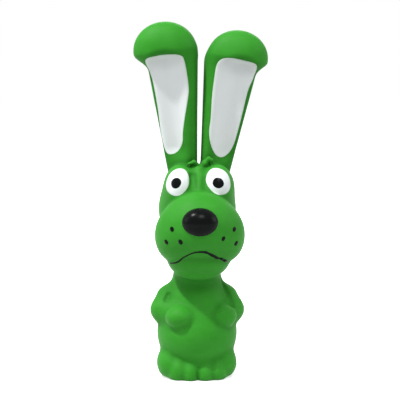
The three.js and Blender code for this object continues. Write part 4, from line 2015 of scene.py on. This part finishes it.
@dataclass
class Studio:
    """A small key lamp high on the left, broad soft lamps round the toy, even light and a pale floor.

    Each lamp has its heading from the toy, its width in millimetres and its power in watts. The floor
    throws back bounce_colour up to bounce_from and floor_colour beyond bounce_to. Where it is seen it
    glows by floor_glow up to glow_from, and fully beyond glow_to.
    """

    floor_half: float = 4000
    floor_gap: float = 0.2
    lamps: tuple[tuple[str, Place, float, float], ...] = (
        ("key_lamp", (-0.46, -0.2, 0.86), 70, 18),
        ("front_lamp", (0.1, -0.6, 0.8), 500, 8.2),
        ("left_lamp", (-0.93, -0.05, 0.35), 800, 3.8),
        ("right_lamp", (0.93, -0.05, 0.35), 800, 4.4),
        ("back_lamp", (0.15, 0.85, 0.5), 800, 6),
    )
    lamp_distance: float = 1400
    surround: float = 0.16
    floor_colour: Colour = (0.4, 0.4, 0.4)
    floor_seen: Colour = (0.8, 0.8, 0.8)
    floor_roughness: float = 0.9
    bounce_colour: Colour = (0.68, 0.68, 0.68)
    bounce_from: float = 100
    bounce_to: float = 240
    floor_glow: float = 0.64
    glow_from: float = 120
    glow_to: float = 420
    centre: Place = MIDDLE

    def lamp(self, bench: Bench, name: str, heading: Place, size: float, power: float) -> None:
        """Hangs an area lamp that looks at the toy's middle.

        Args:
            bench: what puts it into the frame.
            name: the lamp's name.
            heading: which way it is from the toy.
            size: its width, in millimetres.
            power: its power, in watts.
        """
        data = bpy.data.lights.new(name, "AREA")
        data.shape = "DISK"
        data.size = size * MM
        data.energy = power
        lamp = bpy.data.objects.new(name, data)
        away = Vector(heading).normalized()
        middle = Vector(bench.place(np.array([self.centre]))[0])
        lamp.location = middle + away * self.lamp_distance * MM
        lamp.rotation_mode = "QUATERNION"
        lamp.rotation_quaternion = away.to_track_quat("Z", "Y")
        bpy.context.scene.collection.objects.link(lamp)

    def surroundings(self) -> None:
        """Lights the scene evenly, and shows white behind it, where surround is the light's strength."""
        world = bpy.data.worlds.new("studio_light")
        bpy.context.scene.world = world
        world.use_nodes = True
        board = NodeBoard(world.node_tree)
        strength = seen_directly(board) * (1 - self.surround) + self.surround
        light = board.add("ShaderNodeBackground", {}, {"Color": (*WHITE, 1), "Strength": strength})
        board.add("ShaderNodeOutputWorld", {}, {"Surface": light.outputs[0]})

    def floor(self) -> None:
        """Lays the floor, which looks white to the camera where no shadow lies on it."""
        shader = Shader("studio_floor")
        seen = seen_directly(shader)
        away = shader.add("ShaderNodeVectorMath", {"operation": "LENGTH"}, {0: shader.position})
        away = Wire(shader, away.outputs["Value"])
        outer = away.between(self.glow_from * MM, self.glow_to * MM)
        far = away.between(self.bounce_from * MM, self.bounce_to * MM)
        bounced = shader.mix(far, self.bounce_colour, self.floor_colour)
        glow = seen * (outer * (1 - self.floor_glow) + self.floor_glow)
        shader.dress(Base_Color=shader.mix(seen, bounced, self.floor_seen), Roughness=self.floor_roughness)
        shader.dress(Emission_Color=shader.mix(glow, BLACK, WHITE), Emission_Strength=1.0)
        shader.dress(Specular_IOR_Level=0.0)
        data = bpy.data.meshes.new("floor")
        corners = [(x, y, -self.floor_gap * MM) for x, y in square(self.floor_half * MM)]
        data.from_pydata(corners, [], [(0, 1, 2, 3)])
        data.materials.append(shader.material)
        floor = bpy.data.objects.new("floor", data)
        bpy.context.scene.collection.objects.link(floor)

    def build(self, bench: Bench) -> None:
        """Sets the studio up.

        Args:
            bench: what puts the lamps into the frame.
        """
        self.surroundings()
        self.floor()
        for name, heading, size, power in self.lamps:
            self.lamp(bench, name, heading, size, power)


@dataclass
class Camera:
    """The photograph's view: from a little above and just left of straight in front.

    The view's width is what it takes in at the toy's middle. Both shifts are of what it looks at, and
    its clip distances are in metres.
    """

    azimuth: float = -3
    elevation: float = 6
    distance: float = 1000
    view_width: float = 260
    centre: Place = MIDDLE
    right_shift: float = 1.95
    down_shift: float = 0.27
    sensor: float = 36
    clip: tuple[float, float] = (0.05, 50)

    def build(self, bench: Bench) -> None:
        """Sets the camera up.

        Args:
            bench: what puts it into the frame.
        """
        turn, rise = math.radians(self.azimuth), math.radians(self.elevation)
        back = Vector((math.sin(turn) * math.cos(rise), -math.cos(turn) * math.cos(rise), math.sin(rise)))
        right = Vector((math.cos(turn), math.sin(turn), 0))
        middle = Vector(self.centre) + right * self.right_shift - Vector((0, 0, self.down_shift))
        data = bpy.data.cameras.new("camera")
        data.sensor_width = self.sensor
        data.lens = self.sensor * self.distance / self.view_width
        data.clip_start, data.clip_end = self.clip
        camera = bpy.data.objects.new("camera", data)
        camera.location = bench.place(np.array([middle + back * self.distance]))[0]
        camera.rotation_mode = "QUATERNION"
        camera.rotation_quaternion = back.to_track_quat("Z", "Y")
        bpy.context.scene.collection.objects.link(camera)
        bpy.context.scene.camera = camera


def main() -> None:
    """Builds the toy and its studio."""
    logging.basicConfig(level=logging.INFO, format="%(message)s")
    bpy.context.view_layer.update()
    bpy.context.scene.view_settings.view_transform = "Standard"
    bench = Bench.under("squeaker_housing")
    Camera().build(bench)
    Studio().build(bench)
    ears = (LEFT_EAR, RIGHT_EAR)
    skin = Skin(Torso(), Head(), ears, Base())
    latex = skin.build(bench, LATEX.material())
    white = Paint("white_paint", WHITE_PAINT.material())
    black = Paint("black_paint", BLACK_PAINT.material())
    brush = Brush(skin.outside().distance)
    EarLinings(brush, ears).paint(bench, white)
    face = PaintedFace(brush, skin.head)
    face.paint_eyes(bench, white, black)
    face.paint_nose(bench, black)
    face.paint_dots(bench, latex, black)
    face.paint_mouth(bench, latex, black)
    Squeaker().build(bench)


if __name__ == "__main__":
    main()
